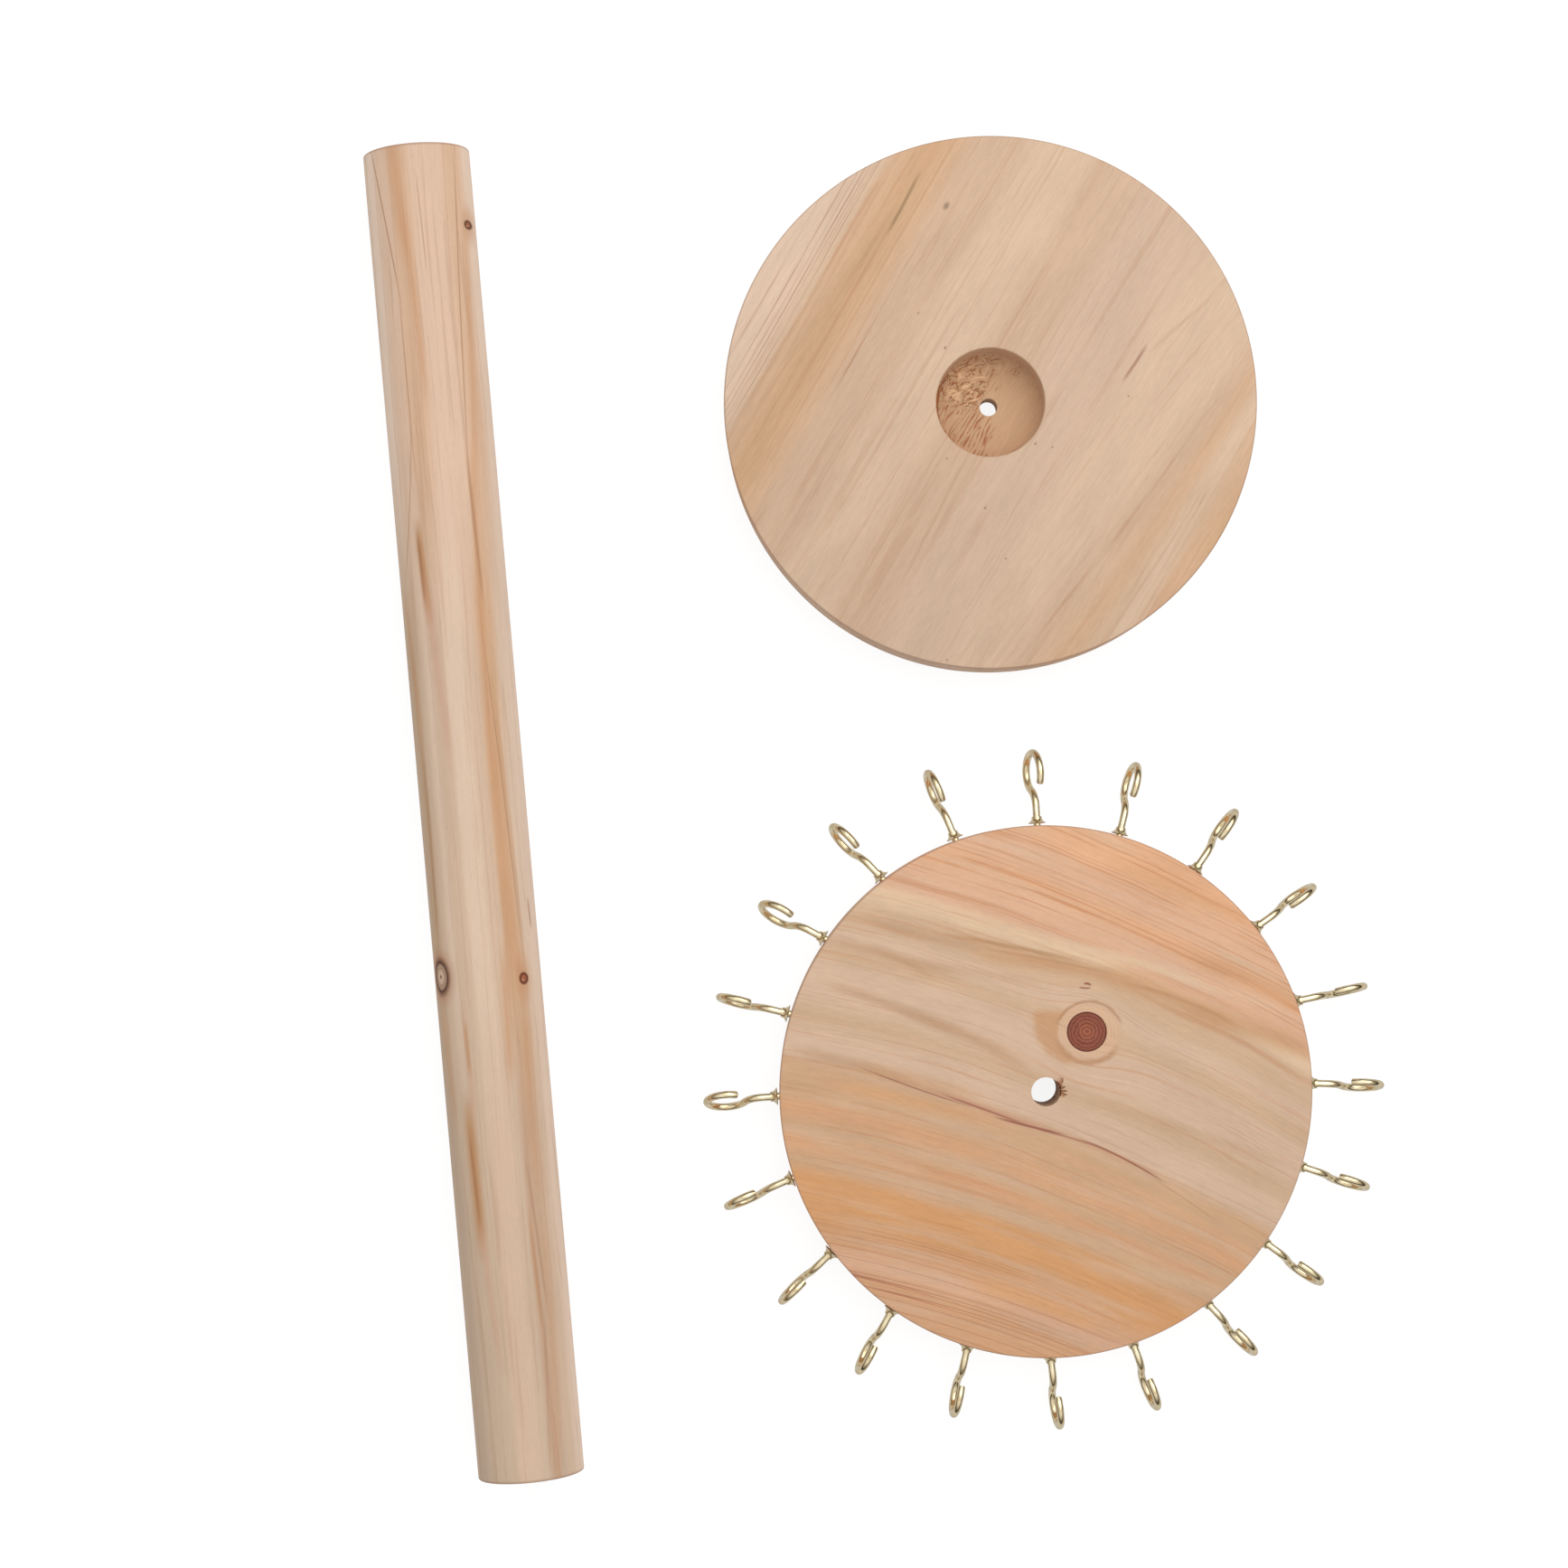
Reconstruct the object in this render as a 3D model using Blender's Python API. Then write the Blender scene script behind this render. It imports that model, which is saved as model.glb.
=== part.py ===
"""Necklace stand, taken apart and laid out flat: a round wooden base with a socket, a round wooden pole,
and a round wooden top with a ring of brass cup hooks screwed into its rim.

Sizes are in metres. Z points up, the floor is z = 0, and the origin is the middle of the floor area covered.
"""

import math

import bmesh
import bpy
from mathutils import Matrix, Vector

# Gap between pieces that touch or fit together
GAP = 0.0003

# Base disc
BASE_DIAMETER = 0.150
BASE_THICKNESS = 0.018
SOCKET_DEPTH = 0.010
SOCKET_PLAY = 0.0004
BASE_SCREW_HOLE_DIAMETER = 0.005

# Pole
POLE_DIAMETER = 0.0298
POLE_LENGTH = 0.3737
PILOT_HOLE_DIAMETER = 0.0035
PILOT_HOLE_DEPTH = 0.030

# Spindle that slides out of the pole, and the hook disc turns on
SPINDLE_DIAMETER = 0.007
SPINDLE_LENGTH = 0.038
SPINDLE_SINK = 0.001
SPINDLE_CHAMFER = 0.0008
# Loose fit of the hook disc and its washer on the spindle, all round
SPINDLE_PLAY = 0.0006

# Hook disc and the washer under it
HOOK_DISC_DIAMETER = 0.150
HOOK_DISC_THICKNESS = 0.018
WASHER_DIAMETER = 0.020
WASHER_THICKNESS = 0.001

# Edges of the wooden parts, broken by sanding
SANDED_EDGE = 0.0004
SANDED_EDGE_STEPS = 2

# Cup hooks
HOOK_COUNT = 20
FIRST_HOOK_ANGLE = math.radians(91.4)
WIRE_DIAMETER = 0.0021
HOOK_REACH = 0.0218
BOWL_RADIUS = 0.0056
BOWL_DROP = 0.0006
NECK_RADIUS = 0.005
BOWL_END_ANGLE = math.radians(122)
SCREWED_IN = 0.009
COLLAR_DIAMETER = 0.0052
COLLAR_LENGTH = 0.0020
COLLAR_WALL = 0.0004

# How far each hook is turned about its own shank, and swung sideways, as it was left when screwed in (degrees)
HOOK_TURNS = (17, 10, 5, 4, -7, -12, -10, -10, -9, -8, -6, -5, -5, -1, 11, 22, 9, 21, 14, 9)
HOOK_SWINGS = (2, 3, 0, -2, -7, -3, -1, -1, 6, 1, 6, 5, 6, 7, 4, 3, 3, 6, 6, 3)

# How the parts lie: gaps between them, the line from hook disc to base, and the pole's slant
HOOKS_TO_BASE = 0.0228
HOOKS_TO_POLE = 0.0421
DISCS_LINE_ANGLE = math.radians(94.6)
POLE_SLANT = math.radians(5.0)
POLE_SHIFT = 0.092

# Sides of the round shapes
DISC_SIDES = 96
POLE_SIDES = 56
BORE_SIDES = 24
PILOT_SIDES = 10
COLLAR_SIDES = 12
WIRE_BEVEL_STEPS = 2
BOWL_STEPS = 14
NECK_STEPS = 4
# How far a cutter runs past the face that it cuts
CUT_PAST = 0.002

COLOURS = {
    "base_wood": ((0.68, 0.45, 0.30), 0.6, 0.0),
    "pole_wood": ((0.73, 0.53, 0.37), 0.6, 0.0),
    "hook_disc_wood": ((0.68, 0.42, 0.25), 0.6, 0.0),
    "brass_plate": ((0.80, 0.66, 0.38), 0.25, 1.0),
    "steel": ((0.60, 0.60, 0.60), 0.3, 1.0),
}


def remove_old_objects():
    for old in list(bpy.data.objects):
        bpy.data.objects.remove(old)


def material(name):
    """The Principled material of that name, made once."""
    made = bpy.data.materials.get(name)
    if made:
        return made
    colour, roughness, metallic = COLOURS[name]
    made = bpy.data.materials.new(name)
    made.use_nodes = True
    shader = made.node_tree.nodes["Principled BSDF"]
    shader.inputs["Base Color"].default_value = (*colour, 1.0)
    shader.inputs["Roughness"].default_value = roughness
    shader.inputs["Metallic"].default_value = metallic
    return made


def heading(angle):
    """Unit vector on the floor in that direction."""
    return Vector((math.cos(angle), math.sin(angle), 0.0))


def add_object(name, data, material_name, parent=None):
    made = bpy.data.objects.new(name, data)
    bpy.context.scene.collection.objects.link(made)
    if material_name and not data.materials:
        data.materials.append(material(material_name))
    made.parent = parent
    return made


def add_empty(name, place):
    made = bpy.data.objects.new(name, None)
    made.location = place
    bpy.context.scene.collection.objects.link(made)
    return made


def smooth_round_faces(mesh):
    mesh.shade_smooth()
    mesh.set_sharp_from_angle(angle=math.radians(35))


def cylinder_mesh(name, radius, bottom, top, sides, edge=0.0, edge_steps=1):
    """Upright cylinder about the Z axis, with both its edges broken if edge is given."""
    shape = bmesh.new()
    middle = Matrix.Translation((0.0, 0.0, (bottom + top) / 2))
    bmesh.ops.create_cone(
        shape, cap_ends=True, segments=sides, radius1=radius, radius2=radius, depth=top - bottom, matrix=middle
    )
    if edge:
        rims = [e for e in shape.edges if any(len(f.verts) == sides for f in e.link_faces)]
        bmesh.ops.bevel(shape, geom=rims, offset=edge, segments=edge_steps, affect="EDGES", profile=0.5)
    mesh = bpy.data.meshes.new(name)
    shape.to_mesh(mesh)
    shape.free()
    smooth_round_faces(mesh)
    return mesh


def cut(target, name, cutter_mesh, parent=None, matrix=None):
    """Cuts cutter_mesh out of target with a Boolean; the cutter stays as a hidden guide."""
    cutter = bpy.data.objects.new(name, cutter_mesh)
    bpy.context.scene.collection.objects.link(cutter)
    cutter.parent = parent
    if matrix:
        cutter.matrix_local = matrix
    cutter.hide_render = True
    cutter.display_type = "WIRE"
    boolean = target.modifiers.new(name, "BOOLEAN")
    boolean.operation = "DIFFERENCE"
    boolean.solver = "EXACT"
    boolean.object = cutter


def layout():
    """Places of the base, the hook disc and the pole's middle, about the middle of the floor area they cover."""
    base_radius = BASE_DIAMETER / 2
    pole_radius = POLE_DIAMETER / 2
    hooks_radius = HOOK_DISC_DIAMETER / 2 + HOOK_REACH
    along = heading(math.pi / 2 + POLE_SLANT)
    away_from_discs = heading(math.pi + POLE_SLANT)

    hook_disc = Vector((0.0, 0.0, 0.0))
    base = hook_disc + heading(DISCS_LINE_ANGLE) * (hooks_radius + HOOKS_TO_BASE + base_radius)
    pole = (
        hook_disc
        + away_from_discs * (hooks_radius + HOOKS_TO_POLE + pole_radius)
        + along * POLE_SHIFT
        + Vector((0.0, 0.0, pole_radius))
    )
    circles = [(base, base_radius), (hook_disc, hooks_radius)]
    circles += [(pole + along * side * POLE_LENGTH / 2, 0.0) for side in (-1, 1)]
    half_end = Vector((abs(away_from_discs.x), abs(away_from_discs.y), 0.0)) * pole_radius
    lows = [c - Vector((r, r, 0.0)) - (half_end if r == 0.0 else Vector()) for c, r in circles]
    highs = [c + Vector((r, r, 0.0)) + (half_end if r == 0.0 else Vector()) for c, r in circles]
    middle = Vector(
        (
            (min(p.x for p in lows) + max(p.x for p in highs)) / 2,
            (min(p.y for p in lows) + max(p.y for p in highs)) / 2,
            0.0,
        )
    )
    return base - middle, hook_disc - middle, pole - middle


def pole_direction():
    """Unit vector along the lying pole, from the end that becomes its foot to the end with the spindle."""
    return -heading(math.pi / 2 + POLE_SLANT)


def standing_pole_middle(base_place):
    """The pole's middle when it stands at the mouth of the base's socket."""
    return base_place + Vector((0.0, 0.0, BASE_THICKNESS + GAP + POLE_LENGTH / 2))


def pole_hinge_point(base_place, pole_place):
    """A point on the one axis that swings the lying pole up onto the base."""
    lying = pole_direction()
    upright = Vector((0.0, 0.0, 1.0))
    move = standing_pole_middle(base_place) - pole_place
    axis = -(lying - upright).cross(move).normalized()
    lying_flat = lying - axis * lying.dot(axis)
    upright_flat = upright - axis * upright.dot(axis)
    angle = math.atan2(axis.dot(lying_flat.cross(upright_flat)), lying_flat.dot(upright_flat))
    return pole_place + move / 2 + axis.cross(move) / (2 * math.tan(angle / 2))


def make_base(place):
    radius = BASE_DIAMETER / 2
    mesh = cylinder_mesh("base_disc", radius, 0.0, BASE_THICKNESS, DISC_SIDES, SANDED_EDGE, SANDED_EDGE_STEPS)
    base = add_object("base_disc", mesh, "base_wood")
    base.location = place
    socket_floor = BASE_THICKNESS - SOCKET_DEPTH
    socket_radius = POLE_DIAMETER / 2 + SOCKET_PLAY
    socket = cylinder_mesh("socket_cut", socket_radius, socket_floor, BASE_THICKNESS + CUT_PAST, POLE_SIDES)
    cut(base, "socket_cut", socket, base)
    hole_radius = BASE_SCREW_HOLE_DIAMETER / 2
    hole = cylinder_mesh("screw_hole_cut", hole_radius, -CUT_PAST, socket_floor + CUT_PAST, BORE_SIDES)
    cut(base, "screw_hole_cut", hole, base)


def make_pole(place, hinge_point):
    """The pole lies along its own Z axis, foot at the low end, with the spindle sunk in its other end."""
    hinge = add_empty("pole_hinge_axis", hinge_point)
    turn = pole_direction().to_track_quat("Z", "X")
    half = POLE_LENGTH / 2
    mesh = cylinder_mesh("pole", POLE_DIAMETER / 2, -half, half, POLE_SIDES, SANDED_EDGE, SANDED_EDGE_STEPS)
    pole = add_object("pole", mesh, "pole_wood", hinge)
    pole.location = place - hinge_point
    pole.rotation_mode = "QUATERNION"
    pole.rotation_quaternion = turn

    spindle_top = half - SPINDLE_SINK
    spindle_bottom = spindle_top - SPINDLE_LENGTH
    bore_radius = SPINDLE_DIAMETER / 2 + GAP
    bore = cylinder_mesh("spindle_bore_cut", bore_radius, spindle_bottom - GAP, half + CUT_PAST, BORE_SIDES)
    cut(pole, "spindle_bore_cut", bore, pole)
    pilot_top = -half + PILOT_HOLE_DEPTH
    pilot = cylinder_mesh("pilot_hole_cut", PILOT_HOLE_DIAMETER / 2, -half - CUT_PAST, pilot_top, BORE_SIDES)
    cut(pole, "pilot_hole_cut", pilot, pole)

    radius = SPINDLE_DIAMETER / 2
    pin = cylinder_mesh("spindle", radius, spindle_bottom, spindle_top, BORE_SIDES, SPINDLE_CHAMFER)
    add_object("spindle", pin, "steel", pole)


def ring_mesh(name, outline, sides):
    """Turns a closed outline of (radius, height) points about the Z axis."""
    shape = bmesh.new()
    points = [shape.verts.new((r, 0.0, z)) for r, z in outline]
    edges = [shape.edges.new((a, b)) for a, b in zip(points, points[1:] + points[:1])]
    bmesh.ops.spin(
        shape, geom=points + edges, cent=(0, 0, 0), axis=(0, 0, 1), angle=2 * math.pi, steps=sides, use_merge=True
    )
    bmesh.ops.remove_doubles(shape, verts=shape.verts, dist=1e-7)
    bmesh.ops.recalc_face_normals(shape, faces=shape.faces)
    mesh = bpy.data.meshes.new(name)
    shape.to_mesh(mesh)
    shape.free()
    smooth_round_faces(mesh)
    return mesh


def make_washer(place):
    hole = SPINDLE_DIAMETER / 2 + SPINDLE_PLAY
    outer = WASHER_DIAMETER / 2
    outline = [(hole, 0.0), (outer, 0.0), (outer, WASHER_THICKNESS), (hole, WASHER_THICKNESS)]
    washer = add_object("washer", ring_mesh("washer", outline, 2 * BORE_SIDES), "steel")
    washer.location = place


def hook_path():
    """Middle line of a hook's wire in its own XZ plane: X runs out of the rim, Z is the side it opens to."""
    bowl_x = HOOK_REACH - WIRE_DIAMETER / 2 - BOWL_RADIUS
    rise = NECK_RADIUS - BOWL_DROP
    neck_x = bowl_x - math.sqrt((NECK_RADIUS + BOWL_RADIUS) ** 2 - rise**2)
    meet = math.atan2(rise, bowl_x - neck_x)

    points = [(-SCREWED_IN, 0.0), (0.0, 0.0)]
    for step in range(NECK_STEPS):
        angle = math.pi / 2 + (meet - math.pi / 2) * step / NECK_STEPS
        points.append((neck_x + NECK_RADIUS * math.cos(angle), -NECK_RADIUS + NECK_RADIUS * math.sin(angle)))
    start = meet + math.pi
    sweep = BOWL_END_ANGLE + 2 * math.pi - start
    for step in range(BOWL_STEPS + 1):
        angle = start + sweep * step / BOWL_STEPS
        points.append((bowl_x + BOWL_RADIUS * math.cos(angle), -BOWL_DROP + BOWL_RADIUS * math.sin(angle)))
    return points


def hook_curve():
    curve = bpy.data.curves.new("cup_hook", "CURVE")
    curve.dimensions = "3D"
    curve.bevel_depth = WIRE_DIAMETER / 2
    curve.bevel_resolution = WIRE_BEVEL_STEPS
    curve.use_fill_caps = True
    path = hook_path()
    spline = curve.splines.new("POLY")
    spline.points.add(len(path) - 1)
    for point, (x, z) in zip(spline.points, path):
        point.co = (x, 0.0, z, 1.0)
    return curve


def collar_mesh():
    """Small trumpet round the shank, wide end at z = 0 against the rim."""
    bore = WIRE_DIAMETER / 2 + GAP
    neck = bore + COLLAR_WALL
    rim = COLLAR_DIAMETER / 2
    outline = [
        (bore, 0.0),
        (rim, 0.0),
        (rim, COLLAR_WALL / 2),
        ((neck + rim) / 2, COLLAR_LENGTH * 0.4),
        (neck, COLLAR_LENGTH),
        (bore, COLLAR_LENGTH),
    ]
    return ring_mesh("hook_collar", outline, COLLAR_SIDES)


def hook_matrix(number):
    """Places a hook in its disc's frame: at its rim point, swung sideways and turned about its shank."""
    angle = FIRST_HOOK_ANGLE - 2 * math.pi * number / HOOK_COUNT
    swing = math.radians(HOOK_SWINGS[number % len(HOOK_SWINGS)])
    turn = math.radians(HOOK_TURNS[number % len(HOOK_TURNS)])
    place = heading(angle) * HOOK_DISC_DIAMETER / 2 + Vector((0.0, 0.0, HOOK_DISC_THICKNESS / 2))
    return Matrix.Translation(place) @ Matrix.Rotation(angle + swing, 4, "Z") @ Matrix.Rotation(turn, 4, "X")


def make_hook_disc(place):
    axis = add_empty("hook_disc_axis", place)
    radius = HOOK_DISC_DIAMETER / 2
    top = HOOK_DISC_THICKNESS
    mesh = cylinder_mesh("hook_disc", radius, 0.0, top, DISC_SIDES, SANDED_EDGE, SANDED_EDGE_STEPS)
    disc = add_object("hook_disc", mesh, "hook_disc_wood", axis)
    hole_radius = SPINDLE_DIAMETER / 2 + SPINDLE_PLAY
    hole = cylinder_mesh("spindle_hole_cut", hole_radius, -CUT_PAST, top + CUT_PAST, BORE_SIDES)
    cut(disc, "spindle_hole_cut", hole, axis)
    recess_radius = WASHER_DIAMETER / 2 + GAP
    recess = cylinder_mesh("washer_recess_cut", recess_radius, -CUT_PAST, WASHER_THICKNESS + GAP, 2 * BORE_SIDES)
    cut(disc, "washer_recess_cut", recess, axis)

    along_shank = Matrix.Rotation(math.pi / 2, 4, "Y")
    pilot_radius = WIRE_DIAMETER / 2 + GAP
    pilot = cylinder_mesh("hook_pilot_cut", pilot_radius, -SCREWED_IN - GAP, CUT_PAST, PILOT_SIDES)
    curve = hook_curve()
    collar = collar_mesh()
    widest_swing = math.radians(max(abs(swing) for swing in HOOK_SWINGS))
    collar_seat = GAP + COLLAR_DIAMETER / 2 * math.sin(widest_swing)
    for number in range(HOOK_COUNT):
        matrix = hook_matrix(number)
        label = f"{number + 1:02d}"
        cut(disc, f"hook_pilot_cut_{label}", pilot, axis, matrix @ along_shank)
        hook = add_object(f"hook_{label}", curve, "brass_plate", axis)
        hook.matrix_local = matrix
        ring = add_object(f"collar_{label}", collar, "brass_plate", axis)
        ring.matrix_local = matrix @ Matrix.Translation((collar_seat, 0.0, 0.0)) @ along_shank


def build():
    remove_old_objects()
    base_place, hook_disc_place, pole_place = layout()
    make_base(base_place)
    make_pole(pole_place, pole_hinge_point(base_place, pole_place))
    make_hook_disc(hook_disc_place)
    make_washer(hook_disc_place)


build()
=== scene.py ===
import math

import bpy
from mathutils import Matrix, Vector, noise


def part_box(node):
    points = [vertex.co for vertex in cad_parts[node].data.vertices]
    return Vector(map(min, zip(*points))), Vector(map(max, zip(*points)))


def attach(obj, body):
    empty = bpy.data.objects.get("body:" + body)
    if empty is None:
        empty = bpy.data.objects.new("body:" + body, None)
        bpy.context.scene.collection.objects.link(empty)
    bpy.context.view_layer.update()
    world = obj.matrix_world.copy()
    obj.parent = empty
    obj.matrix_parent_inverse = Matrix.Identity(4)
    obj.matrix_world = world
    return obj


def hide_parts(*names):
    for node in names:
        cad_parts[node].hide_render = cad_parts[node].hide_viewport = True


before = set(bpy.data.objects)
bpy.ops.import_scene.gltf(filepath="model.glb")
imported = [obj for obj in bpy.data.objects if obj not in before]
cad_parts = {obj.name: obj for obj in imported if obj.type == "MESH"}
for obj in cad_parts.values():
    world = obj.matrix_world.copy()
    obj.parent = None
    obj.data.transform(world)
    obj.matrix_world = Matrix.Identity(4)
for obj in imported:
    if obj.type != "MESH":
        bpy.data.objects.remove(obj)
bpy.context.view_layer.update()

# Metres to millimetres
MM = 1000.0
QUARTER = math.pi / 2

# Where the pieces lie, taken from the model
BASE_MIDDLE = sum(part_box("base_disc"), Vector()) / 2
DISC_MIDDLE = sum(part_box("hook_disc"), Vector()) / 2
POLE_MIDDLE = Vector((-0.11345, -0.00165, 0.0149))

# Wooden pieces
DISC_RADIUS = 0.075
DISC_THICKNESS = 0.018
SOCKET_RADIUS = 0.0153
SOCKET_FLOOR = 0.008
SOCKET_LIP = 0.00025
SCREW_HOLE_RADIUS = 0.0025
SPINDLE_HOLE_RADIUS = 0.0041
WASHER_RECESS_RADIUS = 0.0103
WASHER_RECESS_DEPTH = 0.0013
POLE_RADIUS = 0.0149
POLE_LENGTH = 0.3737
POLE_SLANT = math.radians(5.0)
SPINDLE_BORE_RADIUS = 0.0038
SPINDLE_BORE_DEPTH = 0.0393
PILOT_HOLE_RADIUS = 0.00175
PILOT_HOLE_DEPTH = 0.030
SANDED_EDGE = 0.0005

# Spindle and washer
SPINDLE_RADIUS = 0.0035
SPINDLE_LENGTH = 0.038
SPINDLE_SINK = 0.001
SPINDLE_CHAMFER = 0.0008
SPINDLE_GROOVE = 0.0002
WASHER_RADIUS = 0.010
WASHER_THICKNESS = 0.001

# Cup hooks
HOOK_COUNT = 20
FIRST_HOOK_ANGLE = math.radians(91.4)
WIRE_RADIUS = 0.00105
HOOK_REACH = 0.0218
BOWL_RADIUS = 0.0056
BOWL_DROP = 0.0006
NECK_RADIUS = 0.005
BOWL_END_ANGLE = math.radians(122)
SCREWED_IN = 0.009
CUT_END_ROUNDING = 0.00015
HOOK_TURNS = (17, 10, 5, 4, -7, -12, -10, -10, -9, -8, -6, -5, -5, -1, 11, 22, 9, 21, 14, 9)
HOOK_SWINGS = (2, 3, 0, -2, -7, -3, -1, -1, 6, 1, 6, 5, 6, 7, 4, 3, 3, 6, 6, 3)
COLLAR_RADIUS = 0.0026
COLLAR_LENGTH = 0.0020
COLLAR_WALL = 0.0004
COLLAR_PLAY = 0.00012
COLLAR_SEAT = 0.00062

# Fineness of the shapes: sides and steps of the round ones, and distances between points
DISC_SIDES = 360
POLE_SIDES = 160
SMALL_SIDES = 64
WIRE_SIDES = 20
CORNER_STEPS = 5
SHANK_STEPS = 9
NECK_STEPS = 14
BOWL_STEPS = 60
COLLAR_STEPS = 10
COARSE_STEP = 0.006
END_STEP = 0.002
WALL_STEP = 0.001
RELIEF_STEP = 0.00022
CHIP_STEP = 0.00012
# Smooth shading ends where faces meet at more than this angle
FLAT_ANGLE = math.radians(35)


# Colours


def tones(screen_colours):
    """Named colours, written as screen values from 0 to 255 and turned into scene values."""
    named = {}
    for name, screen in screen_colours.items():
        shares = [value / 255 for value in screen]
        scene = [part / 12.92 if part <= 0.04045 else ((part + 0.055) / 1.055) ** 2.4 for part in shares]
        named[name] = (*scene, 1.0)
    return named


# Materials made of nodes

# Numbers of a mix node's sockets for colours
MIX_SHARE, MIX_FIRST, MIX_SECOND, MIX_RESULT = 0, 6, 7, 2


class Value:
    """What a node gives out: a number, a place or a colour that changes from point to point."""

    def __init__(self, socket):
        self.socket = socket
        self.tree = socket.id_data

    def __add__(self, other):
        return calculate("ADD", self, other)

    def __sub__(self, other):
        return calculate("SUBTRACT", self, other)

    def __rsub__(self, other):
        return calculate("SUBTRACT", other, self)

    def __mul__(self, other):
        return calculate("MULTIPLY", self, other)

    def __truediv__(self, number):
        return self * (1 / number)

    def __abs__(self):
        return calculate("ABSOLUTE", self)


def feed(node, inputs):
    """Gives a node its inputs, each a plain number or colour, or what another node gives out."""
    for name, value in inputs.items():
        if isinstance(value, Value):
            node.id_data.links.new(value.socket, node.inputs[name])
        else:
            node.inputs[name].default_value = value


def add_node(tree, kind, inputs, output=0, **settings):
    """Adds a node to a tree and returns one of the values that it gives out."""
    node = tree.nodes.new("ShaderNode" + kind)
    for name, setting in settings.items():
        setattr(node, name, setting)
    feed(node, inputs)
    return Value(node.outputs[output])


def calculate(operation, *numbers):
    """One step of arithmetic on numbers, of which at least one comes from a node."""
    tree = next(number.tree for number in numbers if isinstance(number, Value))
    return add_node(tree, "Math", dict(enumerate(numbers)), operation=operation)


def highest(numbers):
    top, *others = numbers
    for number in others:
        top = calculate("MAXIMUM", top, number)
    return top


def distance(sideways, upwards):
    """How far away something is that lies so far to the side and so far up."""
    return calculate("SQRT", sideways * sideways + upwards * upwards)


def vector(x, y, z):
    return add_node(x.tree, "CombineXYZ", {"X": x, "Y": y, "Z": z})


def parts(place):
    """The x, y and z of a place."""
    first = add_node(place.tree, "SeparateXYZ", {"Vector": place})
    return [Value(socket) for socket in first.socket.node.outputs]


def scale(value, factor):
    """Makes a place larger or a colour lighter by that factor."""
    return add_node(value.tree, "VectorMath", {0: value, "Scale": factor}, operation="SCALE")


def place_on_piece(tree):
    """Place in millimetres, which stays with the piece when it moves."""
    return parts(scale(add_node(tree, "TexCoord", {}, "Object"), MM))


def place_from(tree, middle):
    """Place in mm to the right of a piece's middle, onwards from it, and up from the floor."""
    x, y, z = place_on_piece(tree)
    return x - middle.x * MM, y - middle.y * MM, z


def turned_place(x, y, angle):
    """Place along a line at that angle, and across it to the right of its direction."""
    cos, sin = math.cos(angle), math.sin(angle)
    return x * cos + y * sin, x * sin - y * cos


def soft_noise(x, y, z, detail=2.0):
    """Smooth noise about 0, mostly between -0.3 and 0.3."""
    inputs = {"Vector": vector(x, y, z), "Scale": 1.0, "Detail": detail}
    return add_node(x.tree, "TexNoise", inputs, "Fac") - 0.5


def ramp(value, low, high, start, end):
    """Goes softly from start to end while the value goes from low to high."""
    inputs = {"Value": value, "From Min": low, "From Max": high, "To Min": start, "To Max": end}
    return add_node(value.tree, "MapRange", inputs, "Result", interpolation_type="SMOOTHSTEP")


def soft_step(value, low, high):
    """0 below low, 1 above high, or the other way round where low is the larger."""
    if low < high:
        return ramp(value, low, high, 0.0, 1.0)
    return ramp(value, high, low, 1.0, 0.0)


def line(value, middle, half_width):
    """1 where value is middle, falling to 0 at half_width from it."""
    return soft_step(abs(value - middle), half_width, 0.0)


def rings(value, spacing, low, high):
    """Rings at even distances, 1 where the wave between two rings is above high."""
    return soft_step(calculate("SINE", value * (2 * math.pi / spacing)), low, high)


def spot(along, across, middle, size, softness=1.0):
    """1 in the middle of an ellipse with those half sizes, falling to 0 at its edge."""
    off_middle = distance((along - middle[0]) / size[0], (across - middle[1]) / size[1])
    return soft_step(off_middle, 1.0, 1.0 - softness)


def streak(place, start, end, half_width, bend):
    """1 along the middle of a streak from start to end, fading to 0 at half_width and at its two ends.
    Bend is how far the streak's middle lies to the left of the straight line, in mm."""
    inputs = {
        "Vector": place,
        "Location": ((start[0] + end[0]) / 2, (start[1] + end[1]) / 2, 0.0),
        "Rotation": (0.0, 0.0, math.atan2(end[1] - start[1], end[0] - start[0])),
        "Scale": (math.dist(start, end) / 2, half_width, 1.0),
    }
    along, across, _ = parts(add_node(place.tree, "Mapping", inputs, vector_type="TEXTURE"))
    ends = along * along
    if bend:
        across = across - (1.0 - ends) * (bend / half_width)
    return soft_step(abs(across), 1.0, 0.0) * soft_step(ends, 1.0, 0.1)


def mix(share, first, second):
    """The first colour where share is 0, the second where it is 1."""
    inputs = {MIX_SHARE: share, MIX_FIRST: first, MIX_SECOND: second}
    return add_node(share.tree, "Mix", inputs, MIX_RESULT, data_type="RGBA")


def lay(colour, named, *layers):
    """Lays tones over the colour one after the other, each with its share and the tone's name."""
    for share, tone in layers:
        colour = mix(share, colour, named[tone])
    return colour


def bands(value, stops, named, low, high):
    """Colour by value: each stop is a place between low and high, and the name of its tone."""
    share = calculate("DIVIDE", value - low, high - low)
    colour = add_node(value.tree, "ValToRGB", {"Fac": share})
    colour_ramp = colour.socket.node.color_ramp
    colour_ramp.interpolation = "EASE"
    for place, tone in stops:
        colour_ramp.elements.new((place - low) / (high - low)).color = named[tone]
    # The two stops that every new ramp has, at low and high
    for unwanted in (-1, 0):
        colour_ramp.elements.remove(colour_ramp.elements[unwanted])
    return colour


def bump(height, strength, depth):
    return add_node(height.tree, "Bump", {"Strength": strength, "Distance": depth, "Height": height})


def new_material(name):
    material = bpy.data.materials.new(name)
    material.use_nodes = True
    return material


# Wood

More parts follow.
